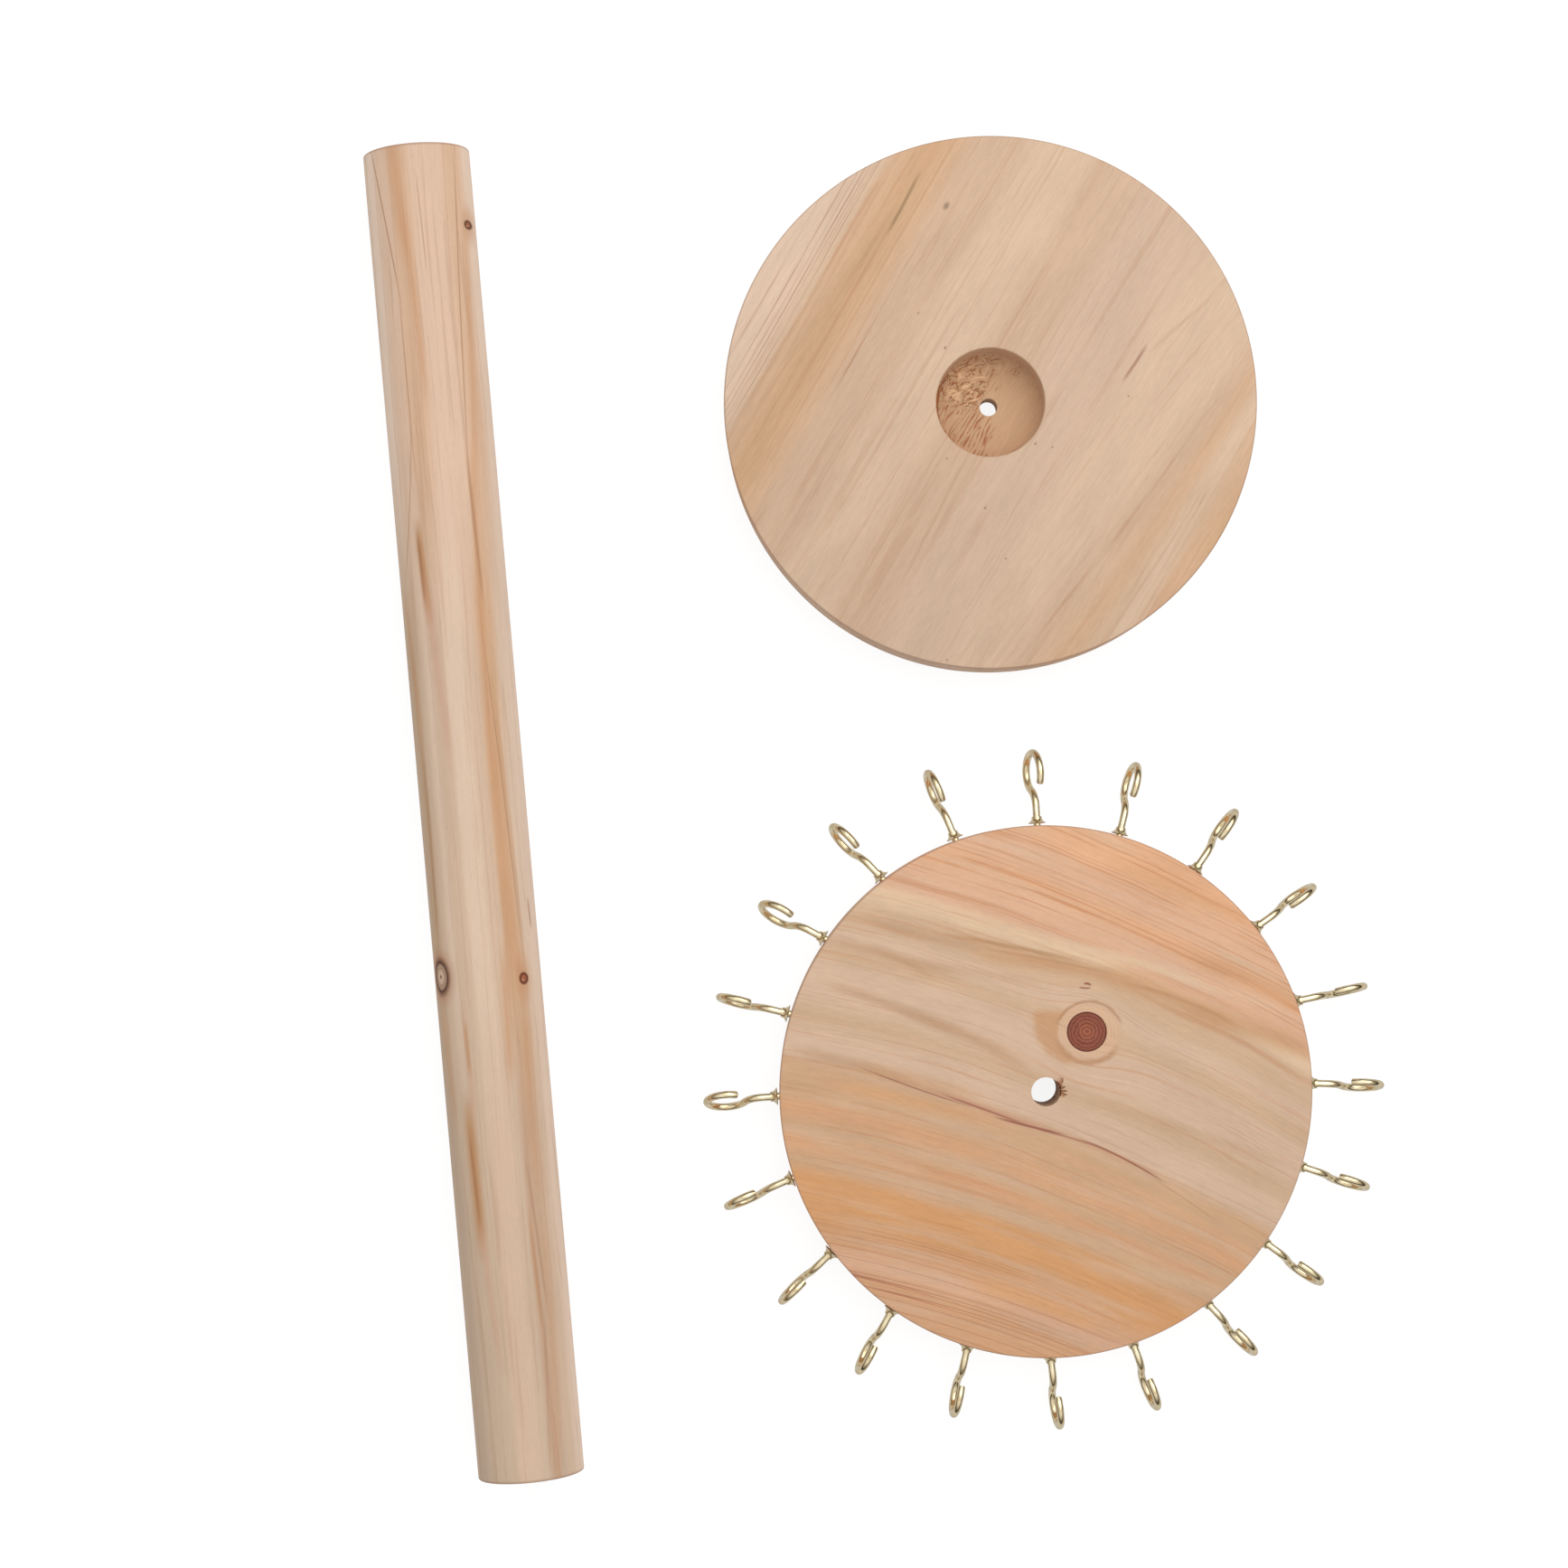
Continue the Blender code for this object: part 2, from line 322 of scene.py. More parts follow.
WOOD_TONES = tones({
    "pore": (158, 118, 86),
    "worn edge": (168, 132, 112),
    "speck": (132, 108, 84),
    "raw cut": (206, 167, 130),
    # Painted highlight on torn fibre tips and painted shade in their hollows
    "fibre tip highlight": (238, 196, 152),
    "hollow shade": (172, 108, 68),
})


def wood_noise(place, long, wide, detail=2.0):
    """Noise drawn out along the grain: its patches are about long by wide mm."""
    along, across, height = place
    return soft_noise(along / long, across / wide, height / wide, detail)


def growth_lines(along, across, spacing, sharpness):
    """Thin late wood lines along the grain, at uneven distances of about spacing mm."""
    level = soft_noise(along / 260.0, across / spacing, spacing, detail=0.0)
    return soft_step(abs(level), 0.10 / sharpness, 0.0)


def line_share(grain, lines, presence, least):
    """How strong lines are, each with its place across the grain, half width in mm, and strength.
    They fade with presence, down to the least share of their strength."""
    shares = [line(grain, place, half_width) * strength for place, half_width, strength in lines]
    return highest(shares) * (presence * (1 - least) + least)


def paint_streaks(colour, place, streaks, named):
    """Lays streaks over the colour, each with its start, end, half width, bend, strength and tone."""
    for start, end, half_width, bend, strength, tone in streaks:
        colour = mix(streak(place, start, end, half_width, bend) * strength, colour, named[tone])
    return colour


def finish_wood(material, colour, place, edge, contrast):
    """Adds the fibres, flecks, pores and sanded surface that all three pieces of wood share."""
    fibre = wood_noise(place, long=5.0, wide=0.26, detail=3.0)
    fleck = wood_noise(place, long=2.4, wide=0.7)
    vein = wood_noise(place, long=38.0, wide=1.1)
    cloud = wood_noise(place, long=26.0, wide=10.0)
    light = fibre * 0.17 + vein * 0.08 + (cloud * 0.12 + fleck * 0.07)
    colour = scale(colour, light * contrast + 1.0)
    pores = soft_step(wood_noise(place, long=2.2, wide=0.20, detail=1.0), 0.17, 0.30)
    colour = lay(colour, WOOD_TONES, (pores * 0.30, "pore"), (edge * 0.55, "worn edge"))
    feed(material.node_tree.nodes["Principled BSDF"], {
        "Base Color": colour,
        "Roughness": fibre * 0.25 + 0.66,
        "Specular IOR Level": 0.25,
        "Normal": bump(fibre * 0.6 - pores * 0.5, 0.25, WOOD_RELIEF),
    })
    return material


def disc_edge(x, y, height):
    """1 on the thin worn line where the disc's faces meet its rim."""
    radius = DISC_RADIUS * MM
    half = DISC_THICKNESS * MM / 2
    near_rim = soft_step(distance(x, y), radius - 0.55, radius - 0.1)
    near_face = soft_step(abs(height - half), half - 0.7, half - 0.3)
    return near_rim * near_face


def torn_wood(colour):
    """Raw cut wood: darker, with painted highlight on the fibre tips and brown painted shade in the
    hollows, by two values kept in the mesh.
    """
    cut = add_node(colour.tree, "Attribute", {}, "Fac", attribute_name="cut")
    torn = add_node(colour.tree, "Attribute", {}, "Fac", attribute_name="torn")
    lit_tips = soft_step(torn, 0.2, 1.0)
    shaded_hollows = soft_step(torn, -0.15, -0.8)
    layers = ((cut * 0.9, "raw cut"), (lit_tips * 0.95, "fibre tip highlight"), (shaded_hollows * 0.90, "hollow shade"))
    return lay(colour, WOOD_TONES, *layers)


# Depth of the fibres and pores
WOOD_RELIEF = 0.00012
# How strongly fibres and clouds show in the wood
BOARD_CONTRAST = 1.6
POLE_CONTRAST = 0.9
# Share by which both boards get lighter with every mm towards their upper end: painted light, as if the
# light fell from that end
PAINTED_LIGHT_UPWARDS = 0.0009
# How far the grain in a board shifts with every mm of depth
GRAIN_TILT = 0.35
BASE_GRAIN = math.radians(58)
BASE_TONES = tones({
    "cream": (224, 195, 170),
    "pale": (216, 186, 158),
    "fawn": (211, 181, 155),
    "sand": (210, 177, 149),
    "tan": (212, 174, 141),
    "honey": (206, 166, 129),
    "line": (184, 134, 98),
    "red line": (156, 104, 84),
    "olive": (142, 116, 84),
    "red": (158, 106, 88),
    "brown": (176, 134, 100),
})
# Slope of all lines against the grain's direction, and of those that fan out at the lower right
GRAIN_SKEW = 0.03
FAN_MIDDLE = 44.0
FAN_HALF_WIDTH = 24.0
FAN_SLOPE = -0.13
# Place across the grain in mm, from the upper left to the lower right
BASE_BANDS = (
    (-75, "cream"), (-66, "cream"), (-61, "pale"), (-57, "tan"), (-52, "honey"), (-49, "honey"),
    (-44, "tan"), (-39, "sand"), (-30, "sand"), (-24, "pale"), (-13, "pale"), (-6, "sand"), (2, "sand"),
    (10, "fawn"), (24, "fawn"), (33, "pale"), (45, "pale"), (52, "sand"), (58, "tan"), (64, "pale"),
    (70, "tan"), (75, "honey"),
)
# Place across the grain, half width (mm) and strength of the lines that stand out
BASE_LINES = (
    (-58.6, 0.9, 0.35), (-49.4, 0.8, 0.5), (-45.6, 0.6, 0.35), (-39.8, 0.5, 0.55), (-31, 0.5, 0.25),
    (-18, 0.5, 0.3), (-6, 0.6, 0.35), (26, 0.6, 0.2), (37.5, 0.5, 0.3), (46, 0.5, 0.35),
    (51.5, 0.6, 0.4), (57, 0.6, 0.3), (66.5, 0.6, 0.4),
)
BASE_RED_LINES = (
    (-70, 0.28, 0.4), (-66.2, 0.25, 0.75), (-64.4, 0.22, 0.55), (-63.2, 0.24, 0.85), (-62.2, 0.2, 0.5),
    (-60.6, 0.22, 0.55),
)
BASE_STREAKS = (
    ((23, -49.6), (46, -51.4), 0.75, 0.2, 0.7, "olive"),
    ((6, -52), (34, -51.6), 1.1, 0, 0.3, "brown"),
    ((24, 28.3), (37.8, 28.7), 0.8, 0.2, 0.7, "red"),
    ((34, 30), (60, 37.5), 0.9, 0, 0.25, "brown"),
    ((-60, 6), (-4, 1.5), 0.8, 0, 0.3, "brown"),
    ((-40, -20), (20, -22), 0.7, 0, 0.22, "brown"),
)
# Specks: place along and across the grain, half length and half width in mm
BASE_SPECKS = (
    ((40.2, -39.8), (1.9, 1.1)), ((6.2, -18.9), (0.8, 0.5)), ((10.5, -30.5), (0.5, 0.35)),
    ((-3.2, 16.9), (0.7, 0.45)), ((-1.5, 21.5), (0.5, 0.4)), ((22, 32), (0.5, 0.35)),
    ((-20, -2), (0.5, 0.4)), ((-26, 14.5), (0.6, 0.5)), ((-68, 28), (0.6, 0.4)),
    ((-35, 27), (0.5, 0.4)),
)


def base_wood():
    """Pale board with straight grain that runs to the upper right, orange on its left side."""
    material = new_material("base_board_wood")
    x, y, height = place_from(material.node_tree, BASE_MIDDLE)
    along, across = turned_place(x, y, BASE_GRAIN)
    place = (along, across, height)
    sway = wood_noise(place, long=110.0, wide=26.0)
    fan = line(across, FAN_MIDDLE, FAN_HALF_WIDTH) * (along * FAN_SLOPE)
    grain = across + (sway * 3.5 + fan)
    grain = grain + (height - DISC_THICKNESS * MM) * GRAIN_TILT
    grain = grain + along * GRAIN_SKEW

    colour = bands(grain, BASE_BANDS, BASE_TONES, low=-78.0, high=78.0)
    presence = soft_step(wood_noise(place, long=34.0, wide=5.0), -0.10, 0.16)
    growth = growth_lines(along, grain, spacing=4.2, sharpness=1.8) * presence
    colour = lay(
        colour, BASE_TONES, (line_share(grain, BASE_LINES, presence, least=0.2), "line"),
        (line_share(grain, BASE_RED_LINES, presence, least=0.4), "red line"), (growth * 0.26, "line"),
    )
    # Painted light: the board gets lighter towards its upper end
    colour = scale(colour, along * PAINTED_LIGHT_UPWARDS + 1.0)

    colour = paint_streaks(colour, vector(along, across, 0.0), BASE_STREAKS, BASE_TONES)
    specks = highest([spot(along, across, middle, size, 0.8) for middle, size in BASE_SPECKS])
    colour = lay(colour, WOOD_TONES, (specks * 0.7, "speck"))
    return finish_wood(material, torn_wood(colour), place, disc_edge(x, y, height), BOARD_CONTRAST)


DISC_TONES = tones({
    "cream": (224, 193, 160),
    "pale": (213, 181, 154),
    "peach": (219, 174, 142),
    "tan": (206, 166, 130),
    "sand": (206, 172, 140),
    "brown": (190, 150, 116),
    "umber": (176, 130, 88),
    "orange": (214, 164, 124),
    "apricot": (222, 171, 132),
    "amber": (214, 158, 108),
    "amber brown": (200, 152, 110),
    "line": (192, 126, 80),
    "red line": (170, 102, 76),
    "crack": (142, 78, 64),
    "blush": (190, 134, 110),
})
# Place across the grain in mm at the middle of the disc, from bottom to top
DISC_BANDS = (
    (-75, "orange"), (-69, "orange"), (-64, "peach"), (-58, "orange"), (-52, "amber"), (-43, "amber"),
    (-38, "tan"), (-33, "orange"), (-29, "tan"), (-24, "orange"), (-19, "tan"), (-15, "tan"), (-11, "tan"),
    (-8, "pale"), (-3, "pale"), (3, "sand"), (10, "pale"), (17, "pale"), (22, "sand"), (27, "pale"),
    (33, "sand"), (38, "sand"), (42, "cream"), (46, "peach"), (52, "peach"), (57, "apricot"), (63, "peach"),
    (75, "apricot"),
)
DISC_LINES = (
    (70, 0.35, 0.55), (66.5, 0.45, 0.65), (63, 0.3, 0.45), (60.2, 0.35, 0.55), (57.6, 0.3, 0.35),
    (52.5, 0.35, 0.6), (47.6, 0.3, 0.3), (-19.5, 0.4, 0.35), (-27.6, 0.4, 0.35), (-33.5, 0.3, 0.3),
    (-39, 0.4, 0.35), (-47, 0.4, 0.3), (-56, 0.4, 0.35),
)
# Streaks on the upper face, by their places to the right of the disc's middle and above it
DISC_STREAKS = (
    ((-62, 57), (8, 41), 2.6, -0.4, 0.65, "cream"),
    ((-6, 43.5), (48, 28.5), 2.4, 1.6, 0.75, "cream"),
    ((34, 33.5), (66, 23), 1.6, 0, 0.35, "cream"),
    ((-60, 51), (-8, 38), 2.4, -0.5, 0.45, "brown"),
    ((-30, 44.6), (14, 35.6), 1.1, 0.4, 0.65, "umber"),
    ((-20, 40.6), (22, 32.4), 0.6, 0.5, 0.55, "umber"),
    ((-66, 44), (-20, 31), 3, 0.5, 0.55, "brown"),
    ((-52, 41.5), (-30, 31), 1.6, 0.8, 0.25, "umber"),
    ((-44, 37.5), (4, 28), 2.4, 0.8, 0.32, "brown"),
    ((-66, 32), (-22, 15.5), 2.6, 0.6, 0.6, "brown"),
    ((-42, 23.5), (-2, 5), 2.8, 1.2, 0.65, "brown"),
    ((-75, 13), (-34, 1.5), 2.8, 0.6, 0.6, "brown"),
    ((-54, 6), (4, -12.5), 3.4, 0, 0.4, "brown"),
    ((-24, 39), (34, 29), 3.8, 1.4, 0.62, "amber brown"),
    ((12, 34.5), (56, 16.5), 5, 1.4, 0.8, "amber brown"),
    ((36, 39), (80, 23), 4.5, 0.6, 0.4, "amber brown"),
    ((14, 66), (58, 47), 3.5, 0.6, 0.4, "amber"),
    ((-68, 4), (-4, -11), 3.4, 0.4, 0.5, "amber"),
    ((-58, 9), (-14, -3), 3.2, 0.4, 0.45, "amber brown"),
    ((-26, -52), (20, -68), 4, 0.6, 0.65, "amber"),
    ((34, 24.5), (80, 9), 5, 1, 0.75, "amber brown"),
    ((20, 31), (56, 17.5), 1, 1.6, 0.45, "umber"),
    ((10, -2), (42, -12), 2.6, 0.8, 0.35, "brown"),
    ((26, -7), (72, -22.5), 2.8, 0.6, 0.35, "brown"),
    ((30, -30), (66, -51), 2.2, 0.8, 0.5, "orange"),
    ((-4, -14.5), (40, -36), 2.8, 1, 0.4, "orange"),
    ((-30, -30), (32, -49), 3.2, 1, 0.55, "sand"),
    ((18, -48.5), (62, -60), 4.2, 0.5, 0.75, "sand"),
    ((-26, -37.5), (20, -55.5), 3.2, 1, 0.6, "amber"),
    ((-72, -11), (-30, -24), 2.6, 0, 0.55, "sand"),
)
DISC_CRACKS = (
    ((-54, 7.5), (-20, -4.6), 0.34, -0.3, 0.75, "crack"),
    ((-36, 2), (6, -12.6), 1.4, -0.2, 0.5, "blush"),
    ((-30, -0.4), (-4, -9.8), 0.5, 0, 0.7, "crack"),
    ((-16, -6.6), (7, -12.4), 0.6, -0.2, 0.9, "crack"),
    ((-4, -10.3), (17, -16.4), 0.45, 0.5, 0.6, "crack"),
    ((8, -12.6), (35, -26.6), 0.5, 0.9, 0.85, "crack"),
    ((26, -22), (50, -38), 0.35, 0.5, 0.25, "crack"),
)
CURL_MARKS = (
    ((10.4, 30.4), (12.9, 29.9), 0.55, 0.3, 1.00, "crack"),
    ((9, 29.5), (12.9, 29.3), 0.4, -0.2, 0.9, "crack"),
)
KNOT_PLACE = (11.5, 16.9)
KNOT_RADIUS = 5.65
KNOT_RING = 1.05
EYE_RING = 0.8
# How far round the knot the grain gives way
KNOT_REACH = 12.0
# How steeply the grain falls to the right, and how much steeper with every mm
DISC_SLOPE = 0.37
DISC_SLOPE_GROWTH = 0.0014
KNOT_TONES = tones({
    "left border": (198, 150, 108),
    "lower border": (188, 142, 106),
    "upper border": (172, 126, 88),
    "eye": (219, 179, 145),
    "eye ring": (190, 142, 106),
    "red": (142, 80, 60),
    "heart": (168, 98, 70),
    "ring": (104, 50, 40),
    "outline": (88, 44, 34),
})


def disc_level(right, up):
    """Which growth line a point lies on: the line's height where it crosses the middle of the disc."""
    return up + (right * DISC_SLOPE_GROWTH + DISC_SLOPE) * right


def hook_disc_wood():
    """Orange board with a red knot, grain that falls to the right and flows round the knot."""
    material = new_material("hook_board_wood")
    right, up, height = place_from(material.node_tree, DISC_MIDDLE)
    place = (right, up, height)

    from_knot = (right - KNOT_PLACE[0], up - KNOT_PLACE[1])
    share = distance(*from_knot) / KNOT_REACH
    nearness = calculate("EXPONENT", share * share * -1.0)
    level = disc_level(right, up)
    level = level - (level - disc_level(*KNOT_PLACE)) * nearness * 0.75
    level = level + (DISC_THICKNESS * MM - height) * GRAIN_TILT
    sway = wood_noise(place, long=80.0, wide=44.0)
    ripple = wood_noise(place, long=34.0, wide=12.0)
    grain = level + (sway * 4.5 + ripple * 0.7)
    along = right - up * DISC_SLOPE
    grain_place = (along, grain, height)

    colour = bands(grain, DISC_BANDS, DISC_TONES, low=-80.0, high=80.0)
    broken = soft_step(wood_noise(grain_place, long=46.0, wide=4.5), -0.05, 0.22)
    presence = soft_step(wood_noise(grain_place, long=36.0, wide=2.5), -0.15, 0.12)
    low_left = soft_step(grain, -50.0, -58.0) * soft_step(right, 30.0, -10.0)
    red_growth = growth_lines(along, level, spacing=2.2, sharpness=3.4) * low_left
    growth = growth_lines(along, grain, spacing=2.4, sharpness=1.8) * presence
    growth_strength = soft_step(grain, 44.0, 52.0) * 0.30 + 0.32
    colour = lay(
        colour, DISC_TONES, (broken * 0.45, "pale"),
        (line_share(grain, DISC_LINES, presence, least=0.2), "line"),
        (red_growth * 0.75, "red line"), (growth * growth_strength, "line"),
    )
    # Painted light: the disc gets lighter towards its upper end
    colour = scale(colour, up * PAINTED_LIGHT_UPWARDS + 1.0)

    upper_face = vector(right, up, 0.0)
    near_top = soft_step(height, DISC_THICKNESS * MM - 6.0, DISC_THICKNESS * MM - 1.0)
    streaked = paint_streaks(colour, upper_face, DISC_STREAKS + DISC_CRACKS, DISC_TONES)
    colour = knot(mix(near_top, colour, streaked), *from_knot)
    colour = paint_streaks(colour, upper_face, CURL_MARKS, DISC_TONES)
    edge = disc_edge(right, up, height)
    return finish_wood(material, torn_wood(colour), grain_place, edge, BOARD_CONTRAST)


def knot(colour, x, y):
    """Round red-brown knot with rings, in a pale eye that tan wood borders at its left, below and above."""
    wobble = soft_noise(x * 0.28, y * 0.28, 0.0)
    eye = distance((x - 0.7) / 1.08, y) + wobble * 1.1
    sweep = distance(x + 2.2, y - 3.4) + wobble * 2.0
    wedge = soft_step(sweep, 14.2, 11.4) * soft_step(eye, 7.8, 8.8)
    wedge = wedge * (soft_step(y, 7.2, 4.4) * soft_step(x, -1.0, -6.0))
    halo = soft_step(eye, 8.6, 7.2)
    below = line(eye, 8.6, 1.5) * soft_step(y, -1.5, -5.0) * soft_step(x, 10.0, 6.5)
    above = line(eye, 8.5, 0.8) * soft_step(y, 1.0, 5.0)
    colour = lay(
        colour, KNOT_TONES, (wedge * 0.80, "left border"), (halo * 0.55, "eye"),
        (rings(eye, EYE_RING, 0.4, 1.0) * halo * 0.30, "eye ring"),
        (below * 0.85, "lower border"), (above * 0.65, "upper border"),
    )

    off_middle = distance(x, y)
    core = soft_step(off_middle, KNOT_RADIUS + 0.10, KNOT_RADIUS - 0.10)
    red = mix(soft_step(off_middle, KNOT_RADIUS * 0.8, 0.0), KNOT_TONES["red"], KNOT_TONES["heart"])
    drift = off_middle + (wobble * 0.8 + soft_noise(x * 0.9, y * 0.9, 4.0) * 1.1)
    red = mix(rings(drift, KNOT_RING, -0.1, 0.9) * 0.70, red, KNOT_TONES["ring"])
    grit = soft_noise(x * 2.2, y * 2.2, 0.0, detail=3.0)
    red = scale(red, grit * 0.7 + 1.0)
    outline = line(off_middle, KNOT_RADIUS - 0.25, 0.40)
    return mix(core, colour, mix(outline * 0.75, red, KNOT_TONES["outline"]))


POLE_TONES = tones({
    "cream": (236, 210, 188),
    "ivory": (223, 196, 172),
    "pale": (225, 192, 166),
    "peach": (221, 184, 154),
    "rose": (216, 177, 146),
    "sand": (213, 184, 158),
    "fawn": (206, 180, 155),
    "grey": (200, 174, 150),
    "tan": (212, 173, 139),
    "olive": (200, 168, 136),
    "brown": (197, 163, 137),
    "line": (170, 120, 84),
    "amber": (204, 150, 108),
    "ochre": (190, 138, 92),
    "resin": (158, 102, 62),
    "pink": (206, 160, 136),
})
# Place across the pole in mm, from left to right, for its upper end, middle and lower end
POLE_TOP_BANDS = (
    (-15, "cream"), (-12, "cream"), (-10, "pale"), (-8, "pale"), (-6, "peach"), (-4, "rose"), (-2, "peach"),
    (0, "pale"), (7, "pale"), (10, "peach"), (12, "peach"), (15, "cream"),
)
POLE_MIDDLE_BANDS = (
    (-15, "fawn"), (-12, "olive"), (-10, "sand"), (-8, "ivory"), (-6, "sand"), (-4, "sand"), (-2, "ivory"),
    (2, "ivory"), (4, "sand"), (6, "sand"), (8, "tan"), (10, "tan"), (12, "ivory"), (15, "cream"),
)
POLE_LOW_BANDS = (
    (-15, "fawn"), (-12, "grey"), (-10, "fawn"), (-7, "fawn"), (-4, "fawn"), (-1, "sand"), (3, "sand"),
    (6, "fawn"), (8, "brown"), (10, "grey"), (12, "sand"), (15, "cream"),
)
# Streaks by their places along the pole, from its upper end in the photograph, and across it to the right
POLE_STREAKS = (
    ((-14, -6.4), (36, -3.4), 3.4, 0, 0.5, "amber"),
    ((14, -4), (78, -1.4), 1.9, 0.4, 0.45, "amber"),
    ((14, 12.8), (108, 9.2), 1.3, 0.4, 0.42, "amber"),
    ((78, 9.4), (150, 8.2), 1.3, -0.2, 0.5, "amber"),
    ((112, 7.6), (186, 8), 2.5, -0.2, 0.45, "amber"),
    ((156, 7.8), (244, 9.4), 2.9, -0.4, 0.55, "amber"),
    ((222, 6.4), (266, 5), 2, 0, 0.55, "amber"),
    ((234, 11.2), (300, 10.2), 2.4, -0.8, 0.5, "amber"),
    ((280, 9.4), (384, 8.4), 2, 1.2, 0.4, "amber"),
    ((296, 6.8), (334, 8), 0.8, 0, 0.55, "ochre"),
    ((238, -12.4), (276, -11.6), 1.8, 0, 0.3, "amber"),
    ((-8, -12.6), (48, -6), 0.36, 0.2, 0.7, "line"),
    ((38, -6.8), (88, -6.6), 0.3, 0, 0.5, "line"),
    ((74, -6.4), (124, -13.2), 0.34, 0.8, 0.5, "line"),
    ((-6, 12), (100, 7.9), 0.34, -0.3, 0.6, "line"),
    ((84, 8), (132, 9), 0.7, 0, 0.6, "line"),
    ((132, 7.8), (232, 11.2), 0.36, 0.4, 0.5, "line"),
    ((138, 9), (242, 11.6), 0.8, 0.4, 0.35, "ochre"),
    ((6, 0.8), (38, 1.6), 0.28, 0.1, 0.6, "line"),
    ((28, -1.6), (60, -0.8), 0.24, 0.1, 0.35, "line"),
    ((176, 1), (300, 0), 0.26, 0.3, 0.22, "line"),
    ((120, -13.4), (172, -11.4), 1, 0, 0.45, "amber"),
    ((160, -12), (228, -12.4), 0.8, 0.4, 0.5, "line"),
    ((280, 7), (330, 9.6), 0.6, 0.3, 0.45, "line"),
    ((322, 8.9), (376, 6.4), 0.5, 0, 0.3, "line"),
    ((102, -7.4), (136, -6), 2, 0, 0.85, "ochre"),
    ((106, -7.6), (130, -7), 0.8, 0, 0.65, "resin"),
    ((116, -6.9), (180, -3.2), 2.3, 0, 0.5, "pink"),
    ((236, -6.4), (276, -5.6), 1.5, 0, 0.45, "pink"),
    ((243, -6.3), (261, -5.9), 0.9, 0, 0.6, "ochre"),
    ((262, -7.6), (314, -6.8), 2.7, 0.1, 0.9, "ochre"),
    ((274, -7.9), (304, -6.9), 0.7, 0.1, 0.45, "resin"),
    ((296, -7), (346, -4.2), 2, 0, 0.45, "pink"),
    ((211, 13.5), (221, 13.8), 0.35, 0, 0.55, "resin"),
)
# Small knots: place along and across the pole, half length and half width in mm, and tone
SMALL_KNOTS = (
    ((22.5, 13.4), (1.6, 1.1), "pin knot"),
    ((234, 10.9), (2.1, 1.4), "red knot"),
)
GREY_KNOT_ALONG = 231.7
GREY_KNOT_SIZE = (4.7, 3.7)
# Angle of the grey knot's middle above the pole's left side
GREY_KNOT_RISE = 0.60
POLE_KNOT_TONES = tones({
    "pin knot": (96, 62, 42),
    "red knot": (108, 54, 34),
    "halo": (196, 132, 84),
    "heart": (160, 96, 66),
    "glint": (206, 158, 132),
})
GREY_KNOT_TONES = tones({
    "halo": (176, 112, 80),
    "shadow": (112, 74, 54),
    "inner wood": (212, 182, 156),
    "outer wood": (176, 142, 116),
    "outer ring": (78, 48, 34),
    "inner ring": (140, 102, 78),
    "heart": (96, 62, 44),
})


def pole_wood():
    """Light pole with lengthwise bands, three knots and two brown resin streaks."""
    material = new_material("pole_wood")
    x, y, z = place_from(material.node_tree, POLE_MIDDLE)
    height = z - POLE_MIDDLE.z * MM
    across, down = turned_place(x, y, POLE_SLANT)
    half_length = POLE_LENGTH * MM / 2
    along = down + half_length
    place = (along, across, height)
    sway = wood_noise(place, long=90.0, wide=16.0)
    ripple = wood_noise(place, long=34.0, wide=4.0)
    grain = across + (sway * 2.0 + ripple * 0.9)
    grain = grain + calculate("MINIMUM", height, 0.0) * 0.7

    top, middle, low = [
        bands(grain, stops, POLE_TONES, low=-26.0, high=16.0)
        for stops in (POLE_TOP_BANDS, POLE_MIDDLE_BANDS, POLE_LOW_BANDS)
    ]
    colour = mix(soft_step(along, 75.0, 150.0), top, middle)
    colour = mix(soft_step(along, 220.0, 290.0), colour, low)
    presence = soft_step(wood_noise(place, long=34.0, wide=1.8), -0.12, 0.12)
    growth = growth_lines(along, grain, spacing=2.2, sharpness=1.8) * presence
    colour = lay(colour, POLE_TONES, (growth * 0.24, "line"))

    upper_side = soft_step(height, -4.0, 2.0)
    streaked = paint_streaks(colour, vector(along, across, 0.0), POLE_STREAKS, POLE_TONES)
    for middle, size, tone in SMALL_KNOTS:
        streaked = small_knot(streaked, along, across, middle, size, tone)
    colour = grey_knot(mix(upper_side, colour, streaked), place)
    edge = soft_step(abs(along - half_length), half_length - 0.9, half_length - 0.4)
    return finish_wood(material, colour, place, edge, POLE_CONTRAST)


def small_knot(colour, along, across, middle, size, tone):
    """Small dark pin knot in a halo of orange wood that tapers along the grain."""
    long, wide = size
    halo = spot(along, across, middle, (long * 5.0, wide * 2.0))
    core = spot(along, across, middle, size, 0.35)
    heart = spot(along, across, middle, (long * 0.65, wide * 0.6), 0.5)
    side = (middle[0] + long * 0.2, middle[1] - wide * 0.15)
    glint = spot(along, across, side, (long * 0.25, wide * 0.25))
    layers = ((halo * 0.55, "halo"), (core, tone), (heart, "heart"), (glint, "glint"))
    return lay(colour, POLE_KNOT_TONES, *layers)


